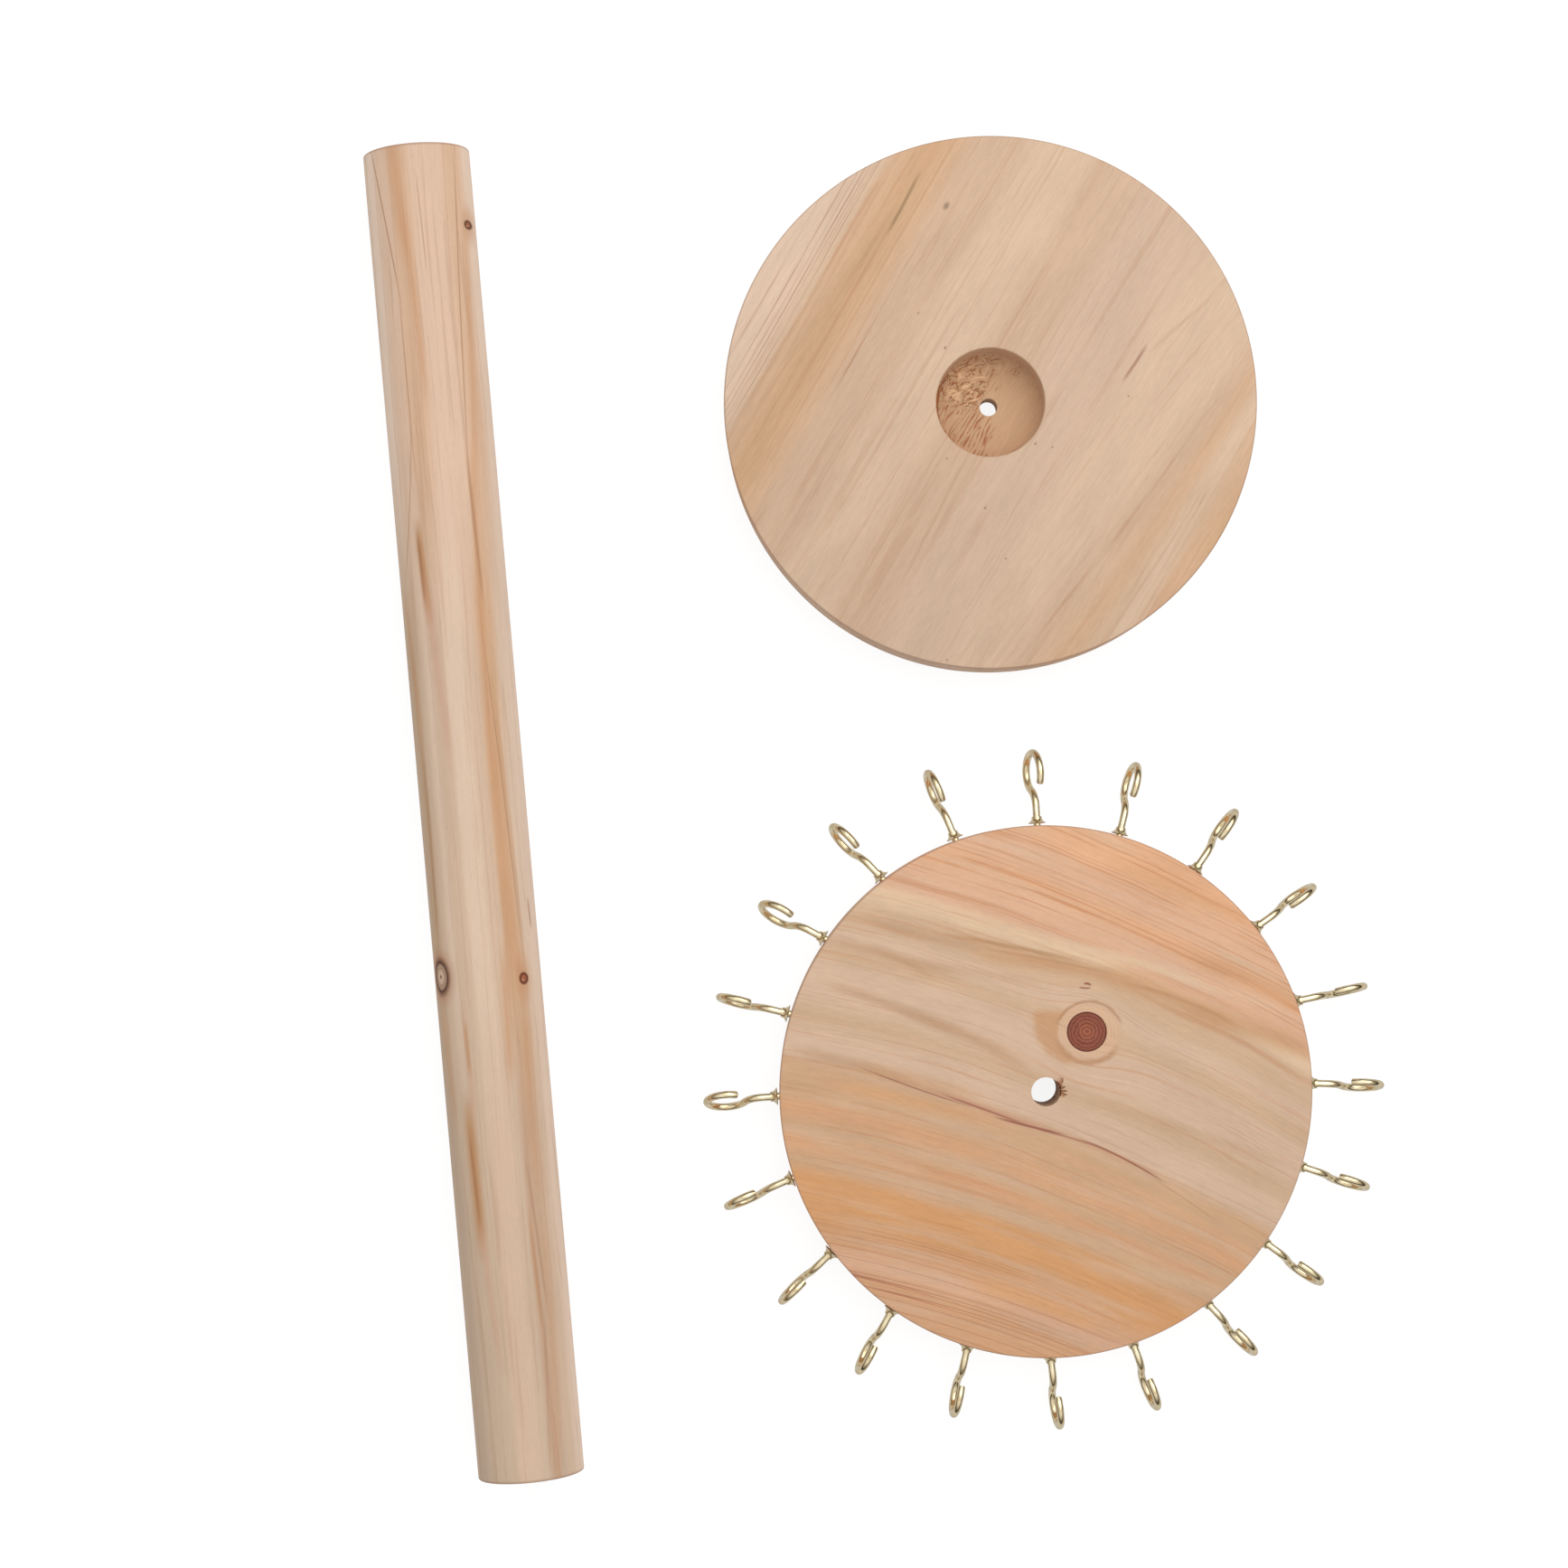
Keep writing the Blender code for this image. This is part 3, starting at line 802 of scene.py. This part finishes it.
def grey_knot(colour, place):
    """Larger knot on the pole's left side: pale brown inside a dark ring, with a red-brown halo."""
    along, across, height = place
    around = calculate("ARCTAN2", height, across * -1.0)
    turn = (around - GREY_KNOT_RISE) * (POLE_RADIUS * MM)
    long, wide = GREY_KNOT_SIZE
    off_middle = distance((along - GREY_KNOT_ALONG) / long, turn / wide)
    left = soft_step(across, 0.0, -4.0)
    halo = soft_step(off_middle, 2.1, 0.9) * left
    shadow = soft_step(off_middle, 1.35, 0.95) * left
    colour = lay(colour, GREY_KNOT_TONES, (halo * 0.50, "halo"), (shadow * 0.75, "shadow"))
    inside = lay(
        GREY_KNOT_TONES["inner wood"], GREY_KNOT_TONES,
        (soft_step(off_middle, 0.2, 0.75), "outer wood"),
        (line(off_middle, 0.90, 0.24) * 0.95, "outer ring"),
        (line(off_middle, 0.52, 0.10) * 0.45, "inner ring"),
        (soft_step(off_middle, 0.16, 0.06), "heart"),
    )
    return mix(soft_step(off_middle, 1.0, 0.9) * left, colour, inside)


# Metal

METAL_TONES = tones({
    "dull brass": (214, 192, 150),
    "bright brass": (243, 228, 192),
    "dull steel": (168, 168, 170),
    "bright steel": (206, 206, 204),
})
METAL_RELIEF = 0.0001


def finish_metal(material, colour, roughness, relief):
    feed(material.node_tree.nodes["Principled BSDF"], {
        "Base Color": colour, "Metallic": 1.0, "Roughness": roughness, "Normal": relief,
    })
    return material


def brass():
    """Bright pale brass plate with faint drawing marks."""
    material = new_material("bright_brass_plate")
    place = place_on_piece(material.node_tree)
    tarnish = soft_noise(*[part * 0.35 for part in place], detail=3.0)
    marks = soft_noise(*[part * 4.0 for part in place])
    colour = mix(soft_step(tarnish, -0.2, 0.25), METAL_TONES["dull brass"], METAL_TONES["bright brass"])
    return finish_metal(material, colour, marks * 0.12 + 0.14, bump(marks, 0.12, METAL_RELIEF))


def steel():
    """Bright turned steel with fine marks round it."""
    material = new_material("turned_steel")
    x, y, z = place_on_piece(material.node_tree)
    marks = soft_noise(x * 0.2, y * 3.5, z * 0.2, detail=3.0)
    colour = mix(soft_step(marks, -0.3, 0.3), METAL_TONES["dull steel"], METAL_TONES["bright steel"])
    return finish_metal(material, colour, marks * 0.15 + 0.28, bump(marks, 0.2, METAL_RELIEF))


# Shapes


def new_mesh(name, points, faces, material):
    mesh = bpy.data.meshes.new(name)
    mesh.from_pydata(points, [], faces)
    mesh.update()
    mesh.shade_smooth()
    mesh.set_sharp_from_angle(angle=FLAT_ANGLE)
    mesh.materials.append(material)
    return mesh


def add_object(name, data):
    made = bpy.data.objects.new(name, data)
    bpy.context.scene.collection.objects.link(made)
    return made


def mesh_object(name, points, faces, material):
    return add_object(name, new_mesh(name, points, faces, material))


def skin(rows):
    """Faces between rows of points that each go once round a shape."""
    faces = []
    for low, high in zip(rows, rows[1:]):
        for side, after in enumerate([*range(1, len(low)), 0]):
            # Where a row is a single point, two corners are the same and the face is a triangle
            faces.append(list(dict.fromkeys([low[side], low[after], high[after], high[side]])))
    return faces


def turned(outline, sides):
    """Turns an outline of (radius, height) points about Z, into a closed ring if it starts off the axis."""
    angles = [2 * math.pi * side / sides for side in range(sides)]
    points = []
    rows = []
    for radius, height in outline:
        first = len(points)
        if radius == 0.0:
            rows.append([first] * sides)
            points.append((0.0, 0.0, height))
        else:
            rows.append(list(range(first, first + sides)))
            points += [(radius * math.cos(angle), radius * math.sin(angle), height) for angle in angles]
    closed = outline[0][0] > 0.0
    return points, skin(rows + rows[:1] if closed else rows)


def rounded_corner(radius, height, size, start_angle):
    """Points of a quarter arc that rounds a rim's lower or upper corner at (radius, height)."""
    middle_height = height - size * math.copysign(1.0, start_angle + QUARTER / 2)
    points = []
    for step in range(CORNER_STEPS + 1):
        angle = start_angle + QUARTER * step / CORNER_STEPS
        points.append((radius - size + size * math.cos(angle), middle_height + size * math.sin(angle)))
    return points


def rounded_rim(radius, height, size):
    """The outer wall of a disc, rounded below and above."""
    return rounded_corner(radius, 0.0, size, -QUARTER) + rounded_corner(radius, height, size, 0.0)


def through(*corners_and_steps):
    """Points from corner to corner, without the last, no further apart than the step named between them."""
    points = []
    for number in range(0, len(corners_and_steps) - 1, 2):
        (r, z), step, (next_r, next_z) = corners_and_steps[number:number + 3]
        count = max(1, math.ceil(math.dist((r, z), (next_r, next_z)) / step))
        points += [(r + (next_r - r) * n / count, z + (next_z - z) * n / count) for n in range(count)]
    return points


def ease(value, low, high):
    """Rises softly from 0 at low to 1 at high, or falls where low is the larger."""
    share = min(1.0, max(0.0, (value - low) / (high - low)))
    return share * share * (3 - 2 * share)


def placed(points, matrix):
    return [tuple(matrix @ Vector(point)) for point in points]


def seated(points, node):
    """Moves points from about the origin to the middle of a solid's underside."""
    low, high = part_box(node)
    middle = (low + high) / 2
    return [(x + middle.x, y + middle.y, z + low.z) for x, y, z in points]


def make_board(name, node, outline, material, surface_at):
    """Turns a board, roughens its surface, and keeps how raw and how torn each of its points is."""
    points, faces = turned(outline, DISC_SIDES)
    raw, torn, points = zip(*[surface_at(*point) for point in points])
    board = mesh_object(name, seated(points, node), faces, material)
    for kept, values in (("cut", raw), ("torn", torn)):
        board.data.attributes.new(kept, "FLOAT", "POINT").data.foreach_set("value", values)
    return board


# How far torn fibres stand up or dip in the socket's floor, and how raw its wall looks beside it: less raw
# than the floor, which paints the socket's and the spindle hole's walls lighter against their shade
SOCKET_ROUGHNESS = 0.00035
PAINTED_LIGHT_WALL_CUT = 0.35
CURL_ANGLE = math.radians(-28)
# Torn patches in the socket's floor: place and half size in mm, where each fades out and is full, strength
TORN_PATCHES = (
    ((-7.5, 6.5), (7.5, 7.5), 1.15, 0.75, 1.0),
    ((1.0, 12.5), (4.5, 3.0), 1.1, 0.5, 0.8),
    ((8.5, 10.5), (3.0, 2.5), 1.2, 0.4, 0.6),
)


def make_base(material):
    """Base disc with its blind socket, whose floor is torn where the cutter left it rough."""
    top = DISC_THICKNESS
    lip_radius = SOCKET_RADIUS + SOCKET_LIP
    hole = SCREW_HOLE_RADIUS
    outline = through((hole, 0.0), COARSE_STEP, (DISC_RADIUS - SANDED_EDGE, 0.0))
    outline += rounded_rim(DISC_RADIUS, top, SANDED_EDGE)
    outline += through((DISC_RADIUS - SANDED_EDGE - SOCKET_LIP, top), COARSE_STEP, (lip_radius, top))
    outline += [(lip_radius, top), (SOCKET_RADIUS, top - SOCKET_LIP)]
    outline += through(
        (SOCKET_RADIUS, top - 2 * SOCKET_LIP), WALL_STEP, (SOCKET_RADIUS, SOCKET_FLOOR), RELIEF_STEP,
        (hole, SOCKET_FLOOR), WALL_STEP, (hole, 0.0),
    )
    return make_board("base_board", "base_disc", outline, material, socket_surface)


def socket_surface(x, y, z):
    """How raw and how torn the base is at a point, and where the point lies after that."""
    radius = math.hypot(x, y)
    half_lip = SOCKET_LIP / 2
    below_lip = SOCKET_FLOOR - SOCKET_LIP < z < DISC_THICKNESS - half_lip
    in_socket = radius < SOCKET_RADIUS + half_lip and below_lip
    on_floor = in_socket and abs(z - SOCKET_FLOOR) < SOCKET_LIP and radius < SOCKET_RADIUS - half_lip
    # The socket's wall gets less of the raw tone than its floor: painted light against the shade inside the
    # socket
    raw = 1.0 if on_floor else PAINTED_LIGHT_WALL_CUT if in_socket else 0.0
    relief = socket_relief(x, y) if on_floor and radius > SCREW_HOLE_RADIUS + SOCKET_LIP else 0.0
    # The relief's height also goes out as the torn value, which paints highlight on the tips and shade in
    # the hollows
    return raw, relief, (x, y, z + relief * SOCKET_ROUGHNESS)


def socket_relief(x, y):
    """Height of the torn fibres, from -1 to 1: short curls at the upper left, scratches along the grain."""
    place = Vector((x, y, 0.0)) * MM
    rising = Matrix.Rotation(CURL_ANGLE, 3, "Z") @ place
    sideways = 0.9 * noise.noise(place * 0.4)
    upwards = 0.9 * noise.noise(place * 0.4 + Vector((5.0, 3.0, 8.0)))
    curl = Vector((rising.x * 0.40 + sideways, rising.y * 1.15 + upwards, 0.0))
    ridge = max(0.0, 1 - 5.0 * abs(noise.noise(curl)))
    gap = max(0.0, 1 - 5.0 * abs(noise.noise(curl + Vector((9.0, 4.0, 2.0)))))
    curls = ridge - gap * (1 - ridge) + 0.4 * noise.noise(place * 1.9)

    along = Vector((math.cos(BASE_GRAIN), math.sin(BASE_GRAIN), 0.0))
    across = Vector((along.y, -along.x, 0.0))
    drawn_out = Vector((place.dot(along) * 0.16, place.dot(across) * 0.9, 3.0))
    scratch = 0.5 * noise.noise(drawn_out * 2) - max(0.0, 0.75 - 5.0 * abs(noise.noise(drawn_out)))

    torn = 0.0
    for middle, size, outer, inner, strength in TORN_PATCHES:
        off_middle = math.hypot((place.x - middle[0]) / size[0], (place.y - middle[1]) / size[1])
        torn = max(torn, strength * ease(off_middle, outer, inner))
    left = ease(place.x, 4.0, -1.0)
    upper_right = ease(place.y, 1.0, 6.0) * (1 - left)
    scratched = (left + 0.5 * upper_right) * (1 - torn)
    near_wall = ease(math.hypot(x, y), SOCKET_RADIUS - 0.0011, SOCKET_RADIUS - 0.0006)
    groove = near_wall * ease(x + y, 0.002, -0.008)
    return max(-1.0, min(1.0, curls * torn + scratch * scratched - groove))


# The chip beside the spindle hole: how far it can reach outwards and down the wall, and how deep it is
CHIP_REACH = 0.0035
CHIP_WALL = 0.003
CHIP_DEPTH = 0.0007
CHIP_WIDENING = 0.0004
CHIP_EDGE = 0.0001


def make_hook_disc(material):
    """Hook disc with its spindle hole, the washer's recess, and a chip torn out beside the hole."""
    top = DISC_THICKNESS
    hole = SPINDLE_HOLE_RADIUS
    recess = WASHER_RECESS_RADIUS
    depth = WASHER_RECESS_DEPTH
    outline = through(
        (hole, depth), END_STEP, (recess, depth), END_STEP, (recess, 0.0), COARSE_STEP,
        (DISC_RADIUS - SANDED_EDGE, 0.0),
    )
    outline += rounded_rim(DISC_RADIUS, top, SANDED_EDGE)
    outline += through(
        (DISC_RADIUS - 2 * SANDED_EDGE, top), COARSE_STEP, (hole + CHIP_REACH, top), CHIP_STEP,
        (hole, top), RELIEF_STEP, (hole, top - CHIP_WALL), END_STEP, (hole, depth),
    )
    return make_board("hook_board", "hook_disc", outline, material, chipped_surface)


def chipped_surface(x, y, z):
    """How raw and how torn the hook disc is at a point, and where the point lies after that."""
    radius = math.hypot(x, y)
    hole = SPINDLE_HOLE_RADIUS
    # The spindle hole's wall gets only part of the raw tone: painted light against the shade inside the
    # hole
    raw = PAINTED_LIGHT_WALL_CUT if radius < hole + CHIP_EDGE and z < DISC_THICKNESS - CHIP_EDGE else 0.0
    near_chip = radius < hole + CHIP_REACH and z > DISC_THICKNESS - CHIP_WALL
    chip = chip_share(x, y) if near_chip else 0.0
    outward = 1 + chip * CHIP_WIDENING / max(radius, hole)
    # The chip's depth goes out as the torn value, which paints shade into the chip
    return raw, -0.6 * chip, (x * outward, y * outward, z - chip * CHIP_DEPTH)


def chip_share(x, y):
    """How deep the wood is torn out beside the hole, from 0 to 1, in splinters that point to the right."""
    angle = math.atan2(y, x)
    radius = math.hypot(x, y) * MM
    broad = 1.3 * noise.noise(Vector((angle * 9.0, 0.5, 0.0)))
    fine = 0.6 * noise.noise(Vector((angle * 25.0, 2.5, 0.0)))
    reach = SPINDLE_HOLE_RADIUS * MM + 1.1 + (broad + fine) * 1.3
    sector = ease(angle, -0.45, -0.15) * ease(angle, 0.95, 0.55)
    return sector * ease(radius, reach, reach - 0.5)


def pole_matrix():
    """Lays the pole's own Z axis along the floor, with its foot at the upper end."""
    axis = Vector((math.sin(POLE_SLANT), -math.cos(POLE_SLANT), 0.0))
    return Matrix.Translation(POLE_MIDDLE) @ axis.to_track_quat("Z", "X").to_matrix().to_4x4()


def make_pole(material):
    """Pole with softly broken ends, the pilot hole in its foot and the spindle's bore in its other end."""
    half = POLE_LENGTH / 2
    pilot = PILOT_HOLE_RADIUS
    pilot_end = PILOT_HOLE_DEPTH - half
    bore = SPINDLE_BORE_RADIUS
    bore_end = half - SPINDLE_BORE_DEPTH
    edge = SANDED_EDGE
    outline = [(0.0, pilot_end), (pilot, pilot_end)]
    outline += through(
        (pilot, pilot_end - END_STEP), COARSE_STEP, (pilot, -half), END_STEP, (POLE_RADIUS - edge, -half)
    )
    outline += rounded_corner(POLE_RADIUS, -half, edge, -QUARTER)
    outline += through((POLE_RADIUS, 2 * edge - half), COARSE_STEP, (POLE_RADIUS, half - edge))
    outline += rounded_corner(POLE_RADIUS, half, edge, 0.0)
    outline += through(
        (POLE_RADIUS - 2 * edge, half), END_STEP, (bore, half), COARSE_STEP, (bore, bore_end)
    )
    outline += [(bore, bore_end), (0.0, bore_end)]
    points, faces = turned(outline, POLE_SIDES)
    return mesh_object("round_pole", placed(points, pole_matrix()), faces, material)


def make_spindle(material):
    """Plain steel pin with chamfered ends and a fine groove below the upper chamfer."""
    top = POLE_LENGTH / 2 - SPINDLE_SINK
    bottom = top - SPINDLE_LENGTH
    radius = SPINDLE_RADIUS
    chamfer = SPINDLE_CHAMFER
    groove = SPINDLE_GROOVE
    groove_low = top - 4 * chamfer
    groove_high = top - 3 * chamfer
    outline = [(0.0, bottom), (radius - chamfer, bottom), (radius, bottom + chamfer)]
    outline += through((radius, bottom + 2 * chamfer), END_STEP, (radius, groove_low))
    outline += [(radius - groove, groove_low + groove), (radius - groove, groove_high - groove)]
    outline += [(radius, groove_high), (radius, top - chamfer), (radius - chamfer, top), (0.0, top)]
    points, faces = turned(outline, SMALL_SIDES)
    return mesh_object("spindle_pin", placed(points, pole_matrix()), faces, material)


def make_washer(material):
    """Flat steel washer with rounded edges."""
    thick = WASHER_THICKNESS
    inner = SPINDLE_HOLE_RADIUS
    soft = thick * 0.3
    outline = [(inner + soft, 0.0), *rounded_rim(WASHER_RADIUS, thick, soft)]
    outline += [(inner + soft, thick), (inner, thick - soft), (inner, soft)]
    points, faces = turned(outline, SMALL_SIDES)
    return mesh_object("steel_washer", seated(points, "washer"), faces, material)


def hook_path():
    """Middle line of a hook's wire in its own XZ plane, with its direction at each point."""
    bowl_x = HOOK_REACH - WIRE_RADIUS - BOWL_RADIUS
    rise = NECK_RADIUS - BOWL_DROP
    neck_x = bowl_x - math.sqrt((NECK_RADIUS + BOWL_RADIUS) ** 2 - rise**2)
    meet = math.atan2(rise, bowl_x - neck_x)
    path = []
    for step in range(SHANK_STEPS):
        path.append((-SCREWED_IN + (neck_x + SCREWED_IN) * step / SHANK_STEPS, 0.0, 0.0))
    for step in range(NECK_STEPS):
        angle = QUARTER + (meet - QUARTER) * step / NECK_STEPS
        x = neck_x + NECK_RADIUS * math.cos(angle)
        path.append((x, NECK_RADIUS * (math.sin(angle) - 1), angle - QUARTER))
    start = meet + math.pi
    sweep = BOWL_END_ANGLE + 2 * math.pi - start
    for step in range(BOWL_STEPS + 1):
        angle = start + sweep * step / BOWL_STEPS
        x = bowl_x + BOWL_RADIUS * math.cos(angle)
        path.append((x, -BOWL_DROP + BOWL_RADIUS * math.sin(angle), angle + QUARTER))
    return path


def hook_mesh(material):
    """Round wire along the hook's path, cut off square, with the cut's edge just broken."""
    sections = [(x, z, direction, WIRE_RADIUS) for x, z, direction in hook_path()]
    end_x, end_z, end_direction, _ = sections[-1]
    cut_x = end_x + CUT_END_ROUNDING * math.cos(end_direction)
    cut_z = end_z + CUT_END_ROUNDING * math.sin(end_direction)
    sections.append((cut_x, cut_z, end_direction, WIRE_RADIUS - CUT_END_ROUNDING))
    points = []
    for x, z, direction, radius in sections:
        for side in range(WIRE_SIDES):
            angle = 2 * math.pi * side / WIRE_SIDES
            outward = radius * math.cos(angle)
            side_x = x - outward * math.sin(direction)
            side_z = z + outward * math.cos(direction)
            points.append((side_x, radius * math.sin(angle), side_z))
    rows = [range(first, first + WIRE_SIDES) for first in range(0, len(points), WIRE_SIDES)]
    caps = [tuple(reversed(rows[0])), tuple(rows[-1])]
    return new_mesh("cup_hook", points, skin(rows) + caps, material)


def collar_mesh(material):
    """Thin trumpet pressed from sheet, wide end against the rim."""
    bore = WIRE_RADIUS + COLLAR_PLAY
    neck = bore + COLLAR_WALL * 0.6
    seat = COLLAR_WALL * 0.4
    outside = []
    for step in range(COLLAR_STEPS + 1):
        share = step / COLLAR_STEPS
        radius = neck + (COLLAR_RADIUS - neck) * (1 - share) ** 3
        outside.append((radius, seat + (COLLAR_LENGTH - seat) * share))
    inside = [(max(bore, radius - COLLAR_WALL), height - seat) for radius, height in reversed(outside)]
    points, faces = turned(outside + inside, SMALL_SIDES)
    return new_mesh("hook_collar", points, faces, material)


def hook_matrix(number):
    """Places a hook at its point of the rim, swung sideways and turned about its shank."""
    angle = FIRST_HOOK_ANGLE - 2 * math.pi * number / HOOK_COUNT
    rim = Vector((math.cos(angle), math.sin(angle), 0.0)) * DISC_RADIUS
    swung = Matrix.Rotation(angle + math.radians(HOOK_SWINGS[number]), 4, "Z")
    turn = Matrix.Rotation(math.radians(HOOK_TURNS[number]), 4, "X")
    return Matrix.Translation(DISC_MIDDLE + rim) @ swung @ turn


def stand_for(piece, node, body):
    """Lets a piece take a solid's place: it moves with the body, and the solid is hidden."""
    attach(piece, body)
    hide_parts(node)


def make_hooks(material):
    hook = hook_mesh(material)
    collar = collar_mesh(material)
    seat = Matrix.Translation((COLLAR_SEAT, 0.0, 0.0)) @ Matrix.Rotation(QUARTER, 4, "Y")
    for number in range(HOOK_COUNT):
        label = f"{number + 1:02d}"
        matrix = hook_matrix(number)
        wire = add_object(f"cup_hook_{label}", hook)
        wire.matrix_world = matrix
        stand_for(wire, f"hook_{label}", "hook_disc")
        ring = add_object(f"hook_collar_{label}", collar)
        ring.matrix_world = matrix @ seat
        stand_for(ring, f"collar_{label}", "hook_disc")


# Floor, light and camera

FLOOR_HALF = 3.0
FLOOR_GAP = 0.0002
# The floor's colour for light that bounces off it and for the eye, its glow, and what mirrors lose of that
FLOOR_BOUNCE = (0.85, 0.85, 0.85, 1.0)
FLOOR_SEEN = (0.18, 0.18, 0.18, 1.0)
FLOOR_GLOW = 0.88
FLOOR_GLOW_LOSS = 0.38

LIGHT_PLACE = (0.65, 0.85, 1.9)
LIGHT_SIZE = 2.4
LIGHT_POWER = 22.5
WHITE = (1.0, 1.0, 1.0, 1.0)
# The sky's light near the horizon and overhead: as it falls on things, and as they mirror it
SKY_LIGHT = (0.40, 0.80)
SKY_MIRRORED = (0.03, 1.00)
SKY_RISE = (0.10, 0.90)

FRAME_WIDTH = 0.441
FRAME_MIDDLE = Vector((-0.0259, 0.0067))
# The camera looks straight down from above this point, to the right of the frame's middle
CAMERA_PLACE = Vector((-0.020, -0.015, 0.92))
SENSOR_WIDTH = 36.0


def make_floor():
    """Pale floor that throws light back on the pieces, and looks white apart from a faint shadow."""
    material = new_material("white_floor")
    tree = material.node_tree
    kinds = ("Is Camera Ray", "Is Glossy Ray", "Is Transmission Ray")
    rays = [add_node(tree, "LightPath", {}, kind) for kind in kinds]
    seen = highest(rays)
    mirrored = rays[1]
    diffuse = add_node(tree, "BsdfDiffuse", {"Color": mix(seen, FLOOR_BOUNCE, FLOOR_SEEN)})
    glow = add_node(tree, "Emission", {"Strength": seen * FLOOR_GLOW - mirrored * FLOOR_GLOW_LOSS})
    both = add_node(tree, "AddShader", {0: diffuse, 1: glow})
    feed(tree.nodes["Material Output"], {"Surface": both})
    corners = ((-1, -1), (1, -1), (1, 1), (-1, 1))
    points = [(x * FLOOR_HALF, y * FLOOR_HALF, -FLOOR_GAP) for x, y in corners]
    mesh_object("white_floor", points, [tuple(range(len(corners)))], material)


def make_key_light():
    data = bpy.data.lights.new("key_light", "AREA")
    data.shape = "SQUARE"
    data.size = LIGHT_SIZE
    data.energy = LIGHT_POWER
    light = add_object("key_light", data)
    light.location = LIGHT_PLACE
    light.rotation_euler = (-Vector(LIGHT_PLACE)).to_track_quat("-Z", "Y").to_euler()


def make_sky():
    """White all round to the eye. Its light grows towards the top, more so in the metal's reflections."""
    world = bpy.data.worlds.new("studio")
    bpy.context.scene.world = world
    world.use_nodes = True
    tree = world.node_tree
    height = parts(add_node(tree, "TexCoord", {}, "Generated"))[2]
    low, high = SKY_RISE
    light = ramp(height, low, high, *SKY_LIGHT)
    mirrored = ramp(height, low, high, *SKY_MIRRORED)
    in_mirror = add_node(tree, "LightPath", {}, "Is Glossy Ray")
    to_camera = add_node(tree, "LightPath", {}, "Is Camera Ray")
    strength = add_node(tree, "Mix", {"Factor": in_mirror, "A": light, "B": mirrored}, "Result")
    strength = add_node(tree, "Mix", {"Factor": to_camera, "A": strength, "B": 1.0}, "Result")
    feed(tree.nodes["Background"], {"Color": WHITE, "Strength": strength})


def make_camera():
    data = bpy.data.cameras.new("camera")
    data.sensor_fit = "HORIZONTAL"
    data.sensor_width = SENSOR_WIDTH
    data.lens = SENSOR_WIDTH * (CAMERA_PLACE.z - DISC_THICKNESS) / FRAME_WIDTH
    data.shift_x = (FRAME_MIDDLE.x - CAMERA_PLACE.x) / FRAME_WIDTH
    data.shift_y = (FRAME_MIDDLE.y - CAMERA_PLACE.y) / FRAME_WIDTH
    camera = add_object("camera", data)
    camera.location = CAMERA_PLACE
    bpy.context.scene.camera = camera


def build():
    stand_for(make_base(base_wood()), "base_disc", "base")
    stand_for(make_hook_disc(hook_disc_wood()), "hook_disc", "hook_disc")
    stand_for(make_pole(pole_wood()), "pole", "pole")
    metal = steel()
    stand_for(make_spindle(metal), "spindle", "spindle")
    stand_for(make_washer(metal), "washer", "washer")
    make_hooks(brass())
    make_floor()
    make_key_light()
    make_sky()
    make_camera()
    bpy.context.scene.view_settings.view_transform = "Standard"


build()
